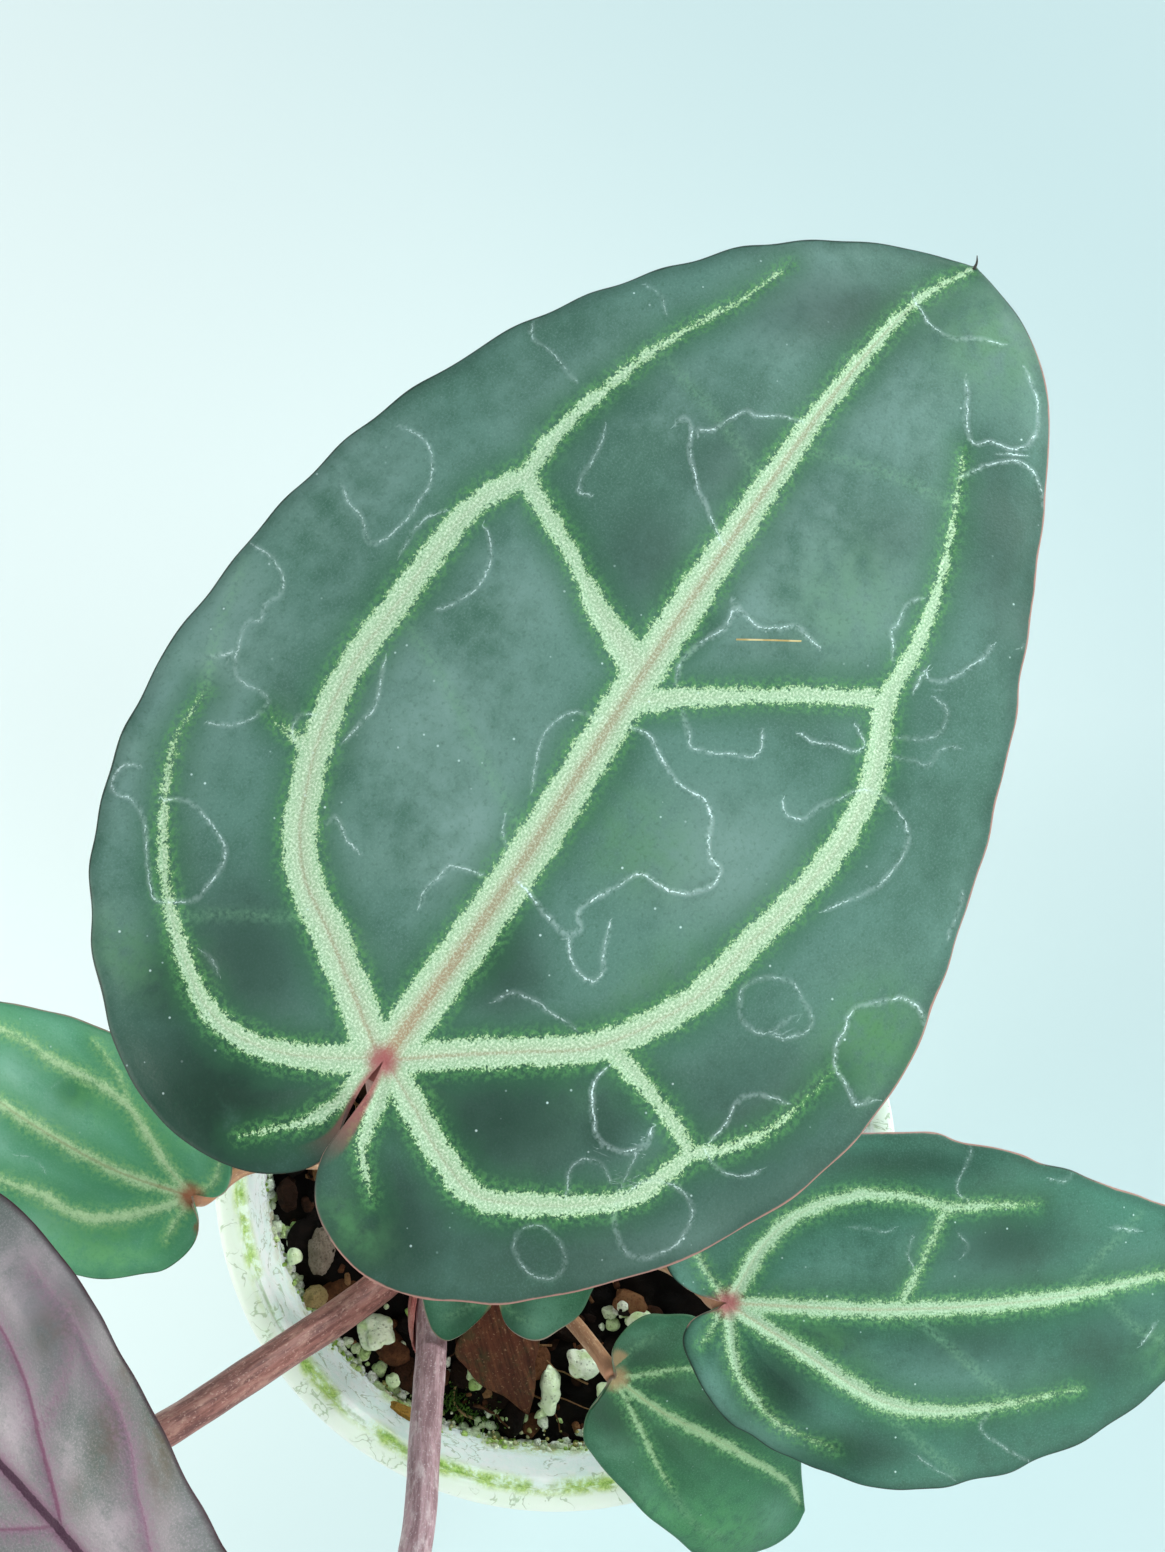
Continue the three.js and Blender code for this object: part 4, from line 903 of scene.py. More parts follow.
NEWEST = dict(
    GROWN, deep="#566460", lamina="#5f6d66", sheen_colour="#d3c2cc", shade="#575d61", verdant="#7a6e77",
    fringe="#86707f", lime="#7f6e79", glow="#54492f", band="#8a6b80", band_bright="#9b7f94",
    band_core="#926081", core="#6a3453", core_warm="#2f0426", junction="#6b3348", rim="#452a31",
    edge="#452a31", margin="#4b3c42", mark="#d8d4d8", under="#a98f92", under_vein="#9a6376", faint="#7c6e79",
)


class BladeFinish(Finish):
    """The upper face of a blade: velvety lamina, and frosted pale bands along its veins.

    softness widens the frayed edge of a band, frost breaks it into dots, and cover is how solid it is.
    marks is the strength of the dried water marks, and lines that of the centre lines. rib_reach is how
    far from the stalk the centre lines keep their warm colour; without it they keep it where they are
    strong. margin is how dark the leaf gets along its edge, and margin_reach how far in."""

    def __init__(self, name, tones, softness=1.0, frost=1.0, cover=1.0, marks=1.0, rib_reach=34,
                 margin=0.35, margin_reach=3.0, lines=1.0):
        super().__init__(name, Sheen_Weight=0.04, Sheen_Roughness=0.45, Specular_IOR_Level=0.22)
        self.shader.inputs["Sheen Tint"].default_value = colour("#cfeef0")
        self.tones = tones
        self.softness, self.frost, self.cover, self.marks = softness, frost, cover, marks
        self.rib_reach, self.margin_share, self.margin_reach = rib_reach, margin, margin_reach
        self.lines = lines
        self.at = self.place("leaf_place")
        self.broad = self.noise(self.at, 0.05, 3, 0.55)
        self.middle = self.noise(self.at, 0.3, 3, 0.6)
        self.fine = self.noise(self.at, 1.3, 3, 0.65)
        self.grain = self.noise(self.at, 2.9, 2, 0.75)

    def shifted(self, value, *waves):
        """The value, moved up and down by each noise and its amount."""
        for noise, amount in waves:
            value = self.calc("MULTIPLY_ADD", self.calc("SUBTRACT", noise, 0.5), amount, value)
        return value

    def over(self, painted, tone, *shares):
        """The painted face with one of its tones over it, as strongly as the product of the shares."""
        return self.layer(painted, self.tones[tone], *shares)

    def lamina(self):
        """The face between the veins: mottled, with patches of painted sheen, painted shade and partly
        painted glow.
        """
        mottle = self.calc("MULTIPLY_ADD", self.middle, 0.5, self.broad)
        shares = self.calc("MULTIPLY_ADD", self.step(mottle, 0.5, 0.95), 0.55, 0.45)
        painted = self.over(colour(self.tones["deep"]), "lamina", shares)
        # Painted sheen: the pale milky tone in soft patches where light glances off the velvet.
        painted = self.over(painted, "sheen_colour", self.value("painted_sheen"), self.step(mottle, 0.42, 0.95), 0.9)
        # Painted sparkle of light on the velvet, as fine grains of the same pale tone.
        painted = self.over(painted, "sheen_colour", self.step(self.grain, 0.45, 0.72), 0.28)
        # Painted shade: the shade tone in soft patches where the blade turns away from the light.
        painted = self.over(painted, "shade", self.value("painted_shade"), self.step(mottle, 0.3, 0.7))
        # Yellow-green glow: partly the leaf's own colour, partly painted light shining through the blade.
        painted = self.over(painted, "glow", self.value("glow"), self.step(self.middle, 0.25, 0.65))
        return self.over(painted, "deep", self.step(self.fine, 0.5, 0.26), 0.3)

    def bands(self, painted):
        """The lamina with its bands, and how dense they are."""
        band = self.value("band")
        edge = self.shifted(band, (self.fine, 1.9), (self.middle, 1.8))
        near = self.shifted(band, (self.middle, 5.0))
        painted = self.over(painted, "verdant", self.step(near, -5.0, -0.8), 0.45 * self.cover)
        halo = self.part(self.step(edge, -2.0, -0.1), self.step(self.fine, 0.38, 0.62))
        painted = self.over(painted, "fringe", halo, 0.6 * self.cover)
        painted = self.over(painted, "faint", self.value("faint"), self.step(self.fine, 0.3, 0.75), 0.7)

        density = self.step(edge, -0.8 * self.softness, 1.2 * self.softness)
        dots = self.step(self.calc("MULTIPLY_ADD", density, 0.5, self.grain), 0.68, 0.82)
        dots = self.part(dots, self.step(density, 0.0, 0.25), self.frost)
        solid = self.calc("MULTIPLY_ADD", density, 1 - self.frost, dots)
        tone = self.over(colour(self.tones["band"]), "band_core", self.step(band, 0.4, 2.6), 0.6)
        tone = self.over(tone, "band_bright", self.step(self.grain, 0.46, 0.66), 0.85)
        tone = self.over(tone, "lime", self.step(density, 0.85, 0.25), 0.75)
        tone = self.over(tone, "fringe", self.step(self.grain, 0.44, 0.32), 0.35 * self.frost)
        return self.mix(self.part(solid, self.cover), painted, tone), density

    def drawn_line(self, off, width):
        """How strongly a line of this width shows at a point so far off it: crisp, with a soft glow."""
        off = self.calc("ABSOLUTE", self.shifted(off, (self.fine, 0.5), (self.middle, 0.4)))
        inner = self.calc("MULTIPLY_ADD", width, 0.8, 0.05)
        crisp = self.step(self.calc("SUBTRACT", inner, off), -0.12, 0.3)
        glow = self.step(self.calc("SUBTRACT", self.calc("MULTIPLY", width, 1.9), off), -0.2, 1.2)
        shown = self.calc("MULTIPLY_ADD", width, 0.6 * self.lines, 0.14 * self.lines)
        shown = self.part(self.calc("MINIMUM", shown, 0.97), self.step(width, 0.0, 0.35))
        return self.part(self.calc("MAXIMUM", crisp, self.part(glow, 0.5)), shown)

    def centre_lines(self, painted):
        """The warm line along the middle of each vein, and the red where they meet at the stalk."""
        u, v, _ = self.split(self.at)
        far = self.length(u, v)
        side = self.drawn_line(self.value("core"), self.value("core_width"))
        side = self.part(side, self.step(self.value("core_near"), 2.4, 1.4))
        spine = self.drawn_line(self.value("spine"), self.value("spine_width"))
        grit = self.frost * 0.4
        broken = self.calc("MULTIPLY_ADD", self.step(self.grain, 0.62, 0.4), grit, 1 - grit)
        line = self.part(self.calc("MAXIMUM", side, spine), broken)
        warm = self.step(far, self.rib_reach, 4) if self.rib_reach else spine
        painted = self.mix(line, painted, self.over(colour(self.tones["core"]), "core_warm", warm))
        middle = self.part(self.step(self.shifted(far, (self.fine, 1.0), (self.middle, 1.5)), 3.4, 0.7), 0.9)
        red = self.calc("MAXIMUM", middle, self.part(self.value("sinus"), 0.85))
        return self.over(painted, "junction", red)

    def water_marks(self, painted):
        """Thin broken rings of dried drops, and specks; also gives how strong they are."""
        mark = self.shifted(self.value("mark"), (self.middle, 1.2), (self.fine, 0.7))
        mark = self.calc("ABSOLUTE", mark)
        ring = self.part(self.step(mark, 0.17, 0.05), self.step(self.grain, 0.4, 0.55))
        ring = self.part(ring, self.step(self.noise(self.at, 0.35, 3, 0.6), 0.4, 0.56))
        haze = self.part(self.step(mark, 0.7, 0.05), self.step(self.fine, 0.3, 0.6), 0.2)
        ring = self.calc("MAXIMUM", ring, haze)
        shown = self.part(self.value("mark_strength"), self.step(self.value("mark_near"), 1.25, 0.85))
        specks = self.cells(self.at, 0.55)
        chance = self.node("SeparateColor")
        self.link(specks.outputs["Color"], chance.inputs[0])
        round_speck = self.step(specks.outputs["Distance"], 0.13, 0.05)
        speck = self.part(round_speck, self.step(chance.outputs[0], 0.72, 0.9))
        speck = self.part(speck, self.step(self.broad, 0.42, 0.56), 0.7)
        dried = self.part(self.calc("MAXIMUM", self.part(ring, shown), speck), self.marks)
        return self.over(painted, "mark", dried), dried

    def margin(self, painted):
        """The darker strip inside the edge, and the thin edge itself, pink where it has a blush."""
        away = self.shifted(self.value("rim"), (self.middle, 0.5))
        blush = self.step(self.shifted(self.value("blush"), (self.middle, 0.5)), 0.2, 0.5)
        painted = self.over(painted, "margin", self.step(away, self.margin_reach, 0.3), self.margin_share)
        edge = self.over(colour(self.tones["edge"]), "rim", blush)
        return self.mix(self.part(self.step(away, 0.4, 0.12), 0.9), painted, edge)

    def finished(self):
        """The whole upper face, layer by layer."""
        painted, density = self.bands(self.lamina())
        painted, dried = self.water_marks(self.centre_lines(painted))
        painted = self.margin(painted)
        height = self.calc("MULTIPLY_ADD", self.part(self.grain, density), 0.9, self.fine)
        self.bump(self.calc("MULTIPLY_ADD", dried, 0.3, height), 0.35)
        rough = self.calc("MULTIPLY_ADD", density, 0.1, self.calc("MULTIPLY_ADD", self.middle, 0.18, 0.42))
        return self.paint(painted, rough)


def under_material(name, tones):
    """The paler lower face, with its raised veins."""
    f = Finish(name)
    at = f.place("leaf_place")
    base = f.layer(colour(tones["under"]), tones["lamina"], f.step(f.noise(at, 0.12, 3, 0.6), 0.3, 0.7))
    base = f.layer(base, tones["band"], f.step(f.noise(at, 2.0, 3, 0.6), 0.45, 0.65), 0.25)
    base = f.layer(base, tones["under_vein"], f.step(f.value("band"), -0.6, 0.8))
    base = f.layer(base, tones["rim"], f.step(f.value("rim"), 0.7, 0.2))
    f.bump(f.noise(at, 1.4, 3, 0.6), 0.4)
    return f.paint(base)


def rim_material(name, tones):
    """The thin wall round a blade's edge, pink where it has a blush."""
    f = Finish(name, roughness=0.45)
    wave = f.calc("SUBTRACT", f.noise(f.place("leaf_place"), 0.35), 0.5)
    blush = f.calc("MULTIPLY_ADD", wave, 0.5, f.value("blush"))
    return f.paint(f.layer(colour(tones["edge"]), tones["rim"], f.step(blush, 0.2, 0.5)))


def dry_material():
    """Brown, papery and veined along its length."""
    f = Finish("sheath_paper", roughness=0.7, Specular_IOR_Level=0.2)
    at = f.place("leaf_place")
    streak = f.noise(f.vector("MULTIPLY", at, (0.1, 1.0, 1.0)), 0.8, 4, 0.75)
    patch = f.noise(at, 0.22, 4, 0.7)
    base = f.layer(colour("#2a170d"), "#6b4029", f.step(streak, 0.3, 0.7))
    base = f.layer(base, "#4a2015", f.step(patch, 0.42, 0.6), 0.6)
    base = f.layer(base, "#3c3a20", f.step(patch, 0.46, 0.34), 0.6)
    flecks = f.noise(at, 1.4, 3, 0.7)
    base = f.layer(base, "#a07a5c", f.step(flecks, 0.58, 0.7), 0.6)
    base = f.layer(base, "#140b06", f.step(flecks, 0.4, 0.3), 0.7)
    f.bump(f.calc("MULTIPLY_ADD", flecks, 0.5, streak), 0.5, 0.0005)
    return f.paint(base)


def stalk_frames(line):
    """Directions across the line that turn as little as they can along it."""
    tangent = np.gradient(line, axis=0)
    tangent /= np.linalg.norm(tangent, axis=1)[:, None]
    side = np.cross(tangent[0], [1.0, 0.3, 0.1])
    sides = []
    for direction in tangent:
        side = side - direction * side.dot(direction)
        side = side / np.linalg.norm(side)
        sides.append(side)
    sides = np.array(sides)
    return sides, np.cross(tangent, sides)


def tube(line, radius, around):
    """A closed tube along a line of points, with its points, faces, angle and run along the line."""
    sides, others = stalk_frames(line)
    angle = circle(around)
    radius = np.broadcast_to(np.asarray(radius), (len(line),))
    ring = np.cos(angle)[None, :, None] * sides[:, None] + np.sin(angle)[None, :, None] * others[:, None]
    points = (line[:, None] + ring * radius[:, None, None]).reshape(-1, 3)
    faces = grid_faces(len(line), around, closed=True)
    caps = fan_caps(around, (len(line) - 1) * around)
    run = np.concatenate([[0], np.cumsum(np.linalg.norm(np.diff(line, axis=0), axis=1))])
    return points, np.vstack([faces, caps]), np.tile(angle, len(line)), np.repeat(run, around)


def stalk_line(leaf):
    """The middle of a stalk, from its foot on the crown to just under the blade."""
    origin, _, _, normal, _ = plane_of(leaf)
    angle = math.radians(leaf["foot"] or 0)
    ring = 0 if leaf["foot"] is None else STALK_RING
    x, y = CROWN_CENTRE + ring * np.array([math.cos(angle), math.sin(angle)])
    floor = CROWN_TOP + CLEARANCE
    points = [(x, y, floor), (x, y, floor + 3), *leaf["via"], origin - 8 * normal,
              origin - (BLADE + KEEL + CLEARANCE) * normal]
    return spline(points, count=160)


def stalk_radius(radius, along):
    """A stalk's radius: a little thinner upwards, wider at its foot and at the knee under the blade."""
    foot = 0.12 * (1 - smooth(along / 0.12))
    knee = 0.16 * smooth((along - 0.9) / 0.05)
    return radius * (1.02 - 0.14 * along + foot + knee)


def stalk(leaf, seed):
    """A stalk's points and faces, each point's place on it, and its share of the way up."""
    line = stalk_line(leaf)
    share = np.linspace(0, 1, len(line))
    foot = line[0] - [0, 0, CLEARANCE + 1.5]
    top = line[-1] + (line[-1] - line[-2]) / np.linalg.norm(line[-1] - line[-2]) * (CLEARANCE + 0.3)
    line = np.vstack([foot, line, top])
    share = np.concatenate([[0], share, [1]])
    points, faces, angle, run = tube(line, stalk_radius(leaf["radius"], share), STALK_SIDES)
    centre = np.repeat(line, STALK_SIDES, axis=0)
    outward = points - centre
    swell = 1 + 0.012 * np.sin(9 * angle + 0.05 * run) + 0.02 * ripple(seed, 9, run, 3 * angle)
    points = centre + outward * swell[:, None]
    place = np.column_stack([leaf["radius"] * np.cos(angle), leaf["radius"] * np.sin(angle), run])
    return points, faces, place, np.repeat(share, STALK_SIDES)


def stalk_material(name, light, middle, dark, tip, fleck, green=0.0):
    """A stalk with fine lengthwise streaks, flecks and a coloured knee."""
    f = Finish(name, Specular_IOR_Level=0.4)
    at = f.place("stalk_place")
    streaks = f.noise(f.vector("MULTIPLY", at, (1.0, 1.0, 0.09)), 1.1, 4, 0.65)
    base = f.layer(colour(dark), middle, f.step(streaks, 0.35, 0.65))
    blotches = f.noise(f.vector("MULTIPLY", at, (1.0, 1.0, 0.4)), 0.42, 4, 0.7)
    base = f.layer(base, light, f.step(blotches, 0.5, 0.68), 0.75)
    base = f.layer(base, dark, f.step(blotches, 0.47, 0.36), 0.7)
    flecks = f.noise(f.vector("MULTIPLY", at, (1.0, 1.0, 0.5)), 2.6, 2, 0.6)
    base = f.layer(base, fleck, f.step(flecks, 0.58, 0.7), 0.6)
    base = f.layer(base, tip, f.step(f.value("share"), 0.86, 0.97), 0.7)
    base = f.layer(base, "#5f6d45", f.step(f.value("share"), 0.25, 0.0), green)
    f.bump(streaks, 0.35, 0.0005)
    return f.paint(base)


def camera_and_light():
    """The camera, the backdrop's light, and four square lamps."""
    data = bpy.data.cameras.new("camera")
    data.lens = FOCAL_LENGTH
    data.sensor_width = SENSOR
    data.clip_start = 0.01
    data.clip_end = 20
    camera = bpy.data.objects.new("camera", data)
    camera.location = [c * MM for c in CAMERA_AT]
    bpy.context.scene.collection.objects.link(camera)
    bpy.context.scene.camera = camera

    world = bpy.data.worlds.new("studio")
    world.use_nodes = True
    backdrop = world.node_tree.nodes["Background"]
    backdrop.inputs["Color"].default_value = colour("#eef8fa")
    backdrop.inputs["Strength"].default_value = 0.54
    bpy.context.scene.world = world
    bpy.context.scene.view_settings.view_transform = "Standard"

    # Each lamp: where it is and what it faces, its size, spread in degrees, watts and tint
    lamps = [
        ("softbox_back", (420, 520, 640), (30, 80, 160), 620, 180, 2.5, "#f2fbff"),
        ("softbox_low", (420, 420, 300), (-25, -45, 105), 160, 36, 0.13, "#f6fffc"),
        ("softbox_left", (-560, -160, 420), (-20, 0, 150), 420, 180, 3.25, "#fffaf4"),
        ("softbox_front", (400, -290, 520), (0, -10, 140), 480, 180, 2.3, "#fffdf8"),
    ]
    for name, at, target, size, spread, watts, tint in lamps:
        light = bpy.data.lights.new(name, "AREA")
        light.shape = "SQUARE"
        light.size = size * MM
        light.spread = math.radians(spread)
        light.energy = watts
        light.color = colour(tint)[:3]
        lamp = bpy.data.objects.new(name, light)
        lamp.location = [c * MM for c in at]
        direction = Vector([t - a for a, t in zip(at, target)])
        lamp.rotation_euler = direction.to_track_quat("-Z", "Y").to_euler()
        bpy.context.scene.collection.objects.link(lamp)


def floor():
    """A plain pale floor, lit a little from within so that the shadows on it stay soft."""
    f = Finish("floor_card", roughness=0.9, Emission_Strength=0.35)
    f.shader.inputs["Emission Color"].default_value = colour("#e6f2f3")
    at = f.position()
    x, y, _ = f.split(at)
    # Painted fall-off of the light: paler to the left and along y = 90 mm, darker and bluer to the right and
    # away from it.
    across = f.calc("MULTIPLY_ADD", f.off(y, 90), 0.9, x)
    across = f.calc("MULTIPLY_ADD", f.noise(at, 0.003), 60, across)
    base = f.layer(colour("#bccaca"), "#93b0b3", f.step(across, -60, 290))
    half = 4000
    corners = [(-half, -half, 0), (half, -half, 0), (half, half, 0), (-half, half, 0)]
    ground = make_mesh("floor", corners, [(0, 1, 2, 3)], [f.paint(base)])


def leaves():
    """Every leaf's blade and stalk, with the materials of their kinds."""
    finishes = {
        "grown": BladeFinish("leaf_velvet", GROWN),
        "right": BladeFinish("right_leaf", RIGHT, softness=1.3, frost=0.7, cover=0.9, marks=0.8),
        "small": BladeFinish("small_leaf", SMALL, softness=0.7, frost=0.3, cover=0.75, marks=0.5,
                             rib_reach=20),
        "left": BladeFinish("left_leaf", LEFT, softness=1.2, frost=0.3, marks=0.6, rib_reach=9, lines=1.3),
        "newest": BladeFinish("newest_leaf", NEWEST, softness=1.8, frost=0.1, cover=0.85, marks=0.1,
                              rib_reach=None, margin=0.7, margin_reach=1.7, lines=1.7),
    }
    layers = {}
    for kind, finish in finishes.items():
        under = under_material(f"{kind}_under", finish.tones)
        layers[kind] = [finish.finished(), under, rim_material(f"{kind}_rim", finish.tones)]
    blade_kinds = dict(a="grown", b="right", c="left", d="small", e="grown", f="newest", g="small")

    red = stalk_material("stalk_red", "#b98d80", "#a67168", "#6f4540", "#a9635a", "#cfa99c")
    tan = stalk_material("stalk_tan", "#dab895", "#c79a75", "#a3775a", "#c69070", "#e2c5a4", 0.3)
    mauve = stalk_material("stalk_mauve", "#d3bec1", "#bb989e", "#8a686e", "#a87f8b", "#dccacd", 0.15)
    stalk_kinds = dict(a="red", b="tan", c="tan", d="tan", e="red", f="mauve", g="red")
    stalks = {"red": (red, "red_stalk"), "tan": (tan, "stalk"), "mauve": (mauve, "young_stalk")}

    for seed, (name, leaf) in enumerate(LEAVES.items(), 1):
        points, faces, kinds, values, places = blade(leaf, seed, WATER_MARKS.get(name, ()))
        made = make_mesh(f"leaf_{name}_blade", points, faces, layers[blade_kinds[name]], kinds, values,
                         {"leaf_place": places})
        piece(made, "young_blade" if name == "f" else "blade", f"blade_{name}")

        points, faces, places, share = stalk(leaf, seed)
        finish, slot = stalks[stalk_kinds[name]]
        made = make_mesh(f"leaf_{name}_stalk", points, faces, [finish],
                         values={"share": share}, places={"stalk_place": places})
        piece(made, slot, f"stalk_{name}")


def wall_radius(z):
    """The radius of the pot's inner wall at a height."""
    return RIM_INNER_RADIUS - LIP - WALL_TAPER * (POT_HEIGHT - z)


def pot_profile():
    """The pot's outline as radius and height, from its underside over the rim down to its floor."""
    collar = POT_HEIGHT - COLLAR_HEIGHT
    outer_foot = wall_radius(0) + WALL
    inner_foot = wall_radius(FLOOR + 2)
    collar_edge = [(1.5, 0.3), (0.7, 0.9), (0.5, 1.8), (0.25, 6)]
    rim_outside = [(0.05, 2.4), (0, 1.4), (0.25, 0.6), (0.8, 0.15), (1.5, 0), (2.6, -0.05)]
    rim_inside = [(0.8, 0), (0.25, 0.35), (0, 1), (0.05, 2.2), (-0.3, 2.9)]
    return [
        (FOOT_RADIUS - 8, 0), (FOOT_RADIUS - 1.2, 0), (outer_foot - 0.3, 0.5), (outer_foot, 1.6),
        *[(wall_radius(z) + WALL, z) for z in np.linspace(8, collar - 0.4, 12)],
        (wall_radius(collar) + WALL + 0.5, collar),
        *[(RIM_RADIUS - inward, collar + up) for inward, up in collar_edge],
        *[(RIM_RADIUS - inward, POT_HEIGHT - down) for inward, down in rim_outside],
        *[(RIM_INNER_RADIUS + outward, POT_HEIGHT - down) for outward, down in rim_inside],
        *[(wall_radius(z), z) for z in np.linspace(POT_HEIGHT - 3.4, MIX_TOP - 2, 14)],
        *[(wall_radius(z), z) for z in np.linspace(MIX_TOP - 12, FLOOR + 2, 8)],
        (inner_foot - 0.6, FLOOR + 0.6), (inner_foot - 2, FLOOR), (FOOT_RADIUS - 8, FLOOR),
    ]


def pot():
    """The pot, turned from its outline, a little out of round at the rim, with holes in its floor."""
    r, z = np.array(pot_profile(), float).T
    angle = circle(POT_SEGMENTS)
    radius = np.repeat(r[:, None], POT_SEGMENTS, axis=1)
    level = np.repeat(z[:, None], POT_SEGMENTS, axis=1)
    wobble = 0.12 * np.sin(2 * angle + 0.7) + 0.06 * np.sin(5 * angle + 2)
    radius = radius + wobble * smooth((level - 60) / 50)
    points = np.vstack([round_points(radius, angle, level), [0, 0, 0], [0, 0, FLOOR]])
    shell = make_mesh("flower_pot", points, turned_faces(len(r), POT_SEGMENTS), [pot_material()])

    drill_faces = np.vstack([grid_faces(2, DRILL_SIDES, closed=True), fan_caps(DRILL_SIDES, DRILL_SIDES)])
    for at in circle(DRAIN_HOLES):
        middle = [DRAIN_RING * math.cos(at), DRAIN_RING * math.sin(at), 0]
        drill_points = np.vstack([
            round_points(DRAIN_RADIUS, circle(DRILL_SIDES), np.full(DRILL_SIDES, height)) + middle
            for height in (-2.0, FLOOR + 2)
        ])
        drill = make_mesh("drill", drill_points, drill_faces, [])
        cut = shell.modifiers.new("drain", "BOOLEAN")
        cut.object = drill
        cut.operation = "DIFFERENCE"
        cut.solver = "EXACT"
        cut_mesh = evaluated_mesh(shell)
        shell.modifiers.clear()
        shell.data = cut_mesh
        bpy.data.objects.remove(drill)
    piece(shell, "pot", "pot")


def pot_material():
    """Off-white moulded plastic with limescale pits, cracks and algae inside."""
    f = Finish("pot_plastic", roughness=0.42, Specular_IOR_Level=0.4, Subsurface_Weight=1.0,
               Subsurface_Scale=0.014)
    f.shader.inputs["Subsurface Radius"].default_value = (1.0, 0.9, 1.0)
    at = f.position()
    x, y, z = f.split(at)
    radius = f.length(x, y)
    broad = f.noise(at, 0.06, 3, 0.6)
    middle = f.noise(at, 0.35, 4, 0.65)
    fine = f.noise(at, 1.8, 3, 0.7)
    upper = f.step(z, MIX_TOP - 3, MIX_TOP)
    straightened = f.calc("MULTIPLY_ADD", f.calc("SUBTRACT", POT_HEIGHT, z), WALL_TAPER, radius)
    wall = f.part(f.step(straightened, RIM_INNER_RADIUS + 0.9, RIM_INNER_RADIUS + 0.1), upper)
    weathered = f.calc("MAXIMUM", wall, f.step(z, POT_HEIGHT - 0.6, POT_HEIGHT - 0.2))

    outside = f.layer(colour("#e0eadd"), "#e8f0e8", f.step(broad, 0.3, 0.7))
    outside = f.layer(outside, "#a9a58c", f.step(z, 16, 1), f.step(middle, 0.42, 0.65), 0.5)
    # Painted light: the inner wall is a brighter mint than the outside, for light shining through the
    # plastic.
    inside = f.layer(colour("#dcf7ea"), "#eafff4", f.step(broad, 0.35, 0.65))
    base = f.mix(wall, outside, inside)
    base = f.layer(base, "#cbe6cb", f.step(z, POT_HEIGHT - 1.2, POT_HEIGHT - 0.2), 0.6)
    base = f.layer(base, "#dcebd8", f.step(fine, 0.5, 0.72), 0.15)
    base = f.layer(base, "#fbfff8", wall, f.step(middle, 0.4, 0.62), 0.4)

    pits = f.part(f.step(f.cells(at, 0.55).outputs["Distance"], 0.2, 0.1), f.step(middle, 0.5, 0.62))
    cracks = f.step(f.off(f.noise(at, 0.2, 3, 0.55, 0.5), 0.5), 0.02, 0.006)
    cracks = f.part(cracks, f.step(f.noise(at, 0.13), 0.42, 0.55))
    pits = f.part(f.calc("MAXIMUM", pits, cracks), weathered)
    base = f.layer(base, "#84a072", pits, 0.6)
    groove = f.part(f.step(f.off(radius, RIM_INNER_RADIUS - 0.15), 0.45, 0.12), f.step(middle, 0.38, 0.6))
    groove = f.part(groove, f.step(z, POT_HEIGHT - 6, POT_HEIGHT - 4))
    base = f.layer(base, "#7f9a6c", groove, 0.6)

    near_rim = f.step(f.off(radius, RIM_INNER_RADIUS - 0.3), 1.7, 0.2)
    near_rim = f.part(near_rim, f.step(z, POT_HEIGHT - 7, POT_HEIGHT - 4))
    near_mix = f.part(f.step(z, MIX_TOP + 6.5, MIX_TOP + 0.5), wall)
    more_to_left = f.calc("MULTIPLY_ADD", f.step(x, 30, -40), 0.08, f.noise(at, 0.085))
    damp = f.part(f.calc("MAXIMUM", near_rim, near_mix), f.step(more_to_left, 0.46, 0.62))
    algae = f.part(damp, f.step(f.calc("MULTIPLY_ADD", fine, 0.5, middle), 0.6, 0.8))
    base = f.layer(base, "#cfe6ae", damp, 0.35)
    base = f.mix(algae, base, f.layer(colour("#7fa843"), "#bfd98c", f.step(fine, 0.35, 0.65)))
    stain = f.part(near_mix, f.step(f.noise(at, 0.12, 3, 0.6), 0.48, 0.58))
    stain = f.part(stain, f.step(f.calc("MULTIPLY_ADD", fine, 0.6, middle), 0.66, 0.84))
    base = f.layer(base, "#8d7a35", stain, 0.75)

    height = f.calc("MULTIPLY_ADD", pits, -1.5, f.part(f.calc("ADD", middle, fine), wall))
    height = f.calc("MULTIPLY_ADD", groove, -1.0, height)
    f.bump(f.calc("MULTIPLY_ADD", fine, 0.15, height), 0.6, 0.0005)
    return f.paint(base, f.calc("MULTIPLY_ADD", middle, 0.3, 0.28))


def ball(detail):
    """A round mesh of points on a unit sphere and its triangles."""
    sphere = bmesh.new()
    bmesh.ops.create_icosphere(sphere, subdivisions=detail, radius=1.0)
    points = np.array([vertex.co[:] for vertex in sphere.verts])
    faces = np.array([[vertex.index for vertex in face.verts] for face in sphere.faces])
    sphere.free()
    return points, faces


def rough(shape, amount, seed, wavelength):
    """A factor near 1 for each point of a small body, which makes it uneven."""
    return (1 + amount * ripple(seed, wavelength, *shape.T))[:, None]


def at_bearing(out, angle, z):
    """The place so far out from the pot's axis, at an angle and a height."""
    return np.array([out * math.cos(angle), out * math.sin(angle), z])


def turned_by(random, tilt):
    """A random turn about +Z with a tilt of up to tilt radians."""
    spin, lean, roll = random.uniform(0, 2 * np.pi), random.uniform(-tilt, tilt), random.uniform(-tilt, tilt)
    about_y = np.array([[math.cos(lean), 0, math.sin(lean)], [0, 1, 0], [-math.sin(lean), 0, math.cos(lean)]])
    about_x = np.array([[1, 0, 0], [0, math.cos(roll), -math.sin(roll)], [0, math.sin(roll), math.cos(roll)]])
    return turn_about_z(spin) @ about_y @ about_x


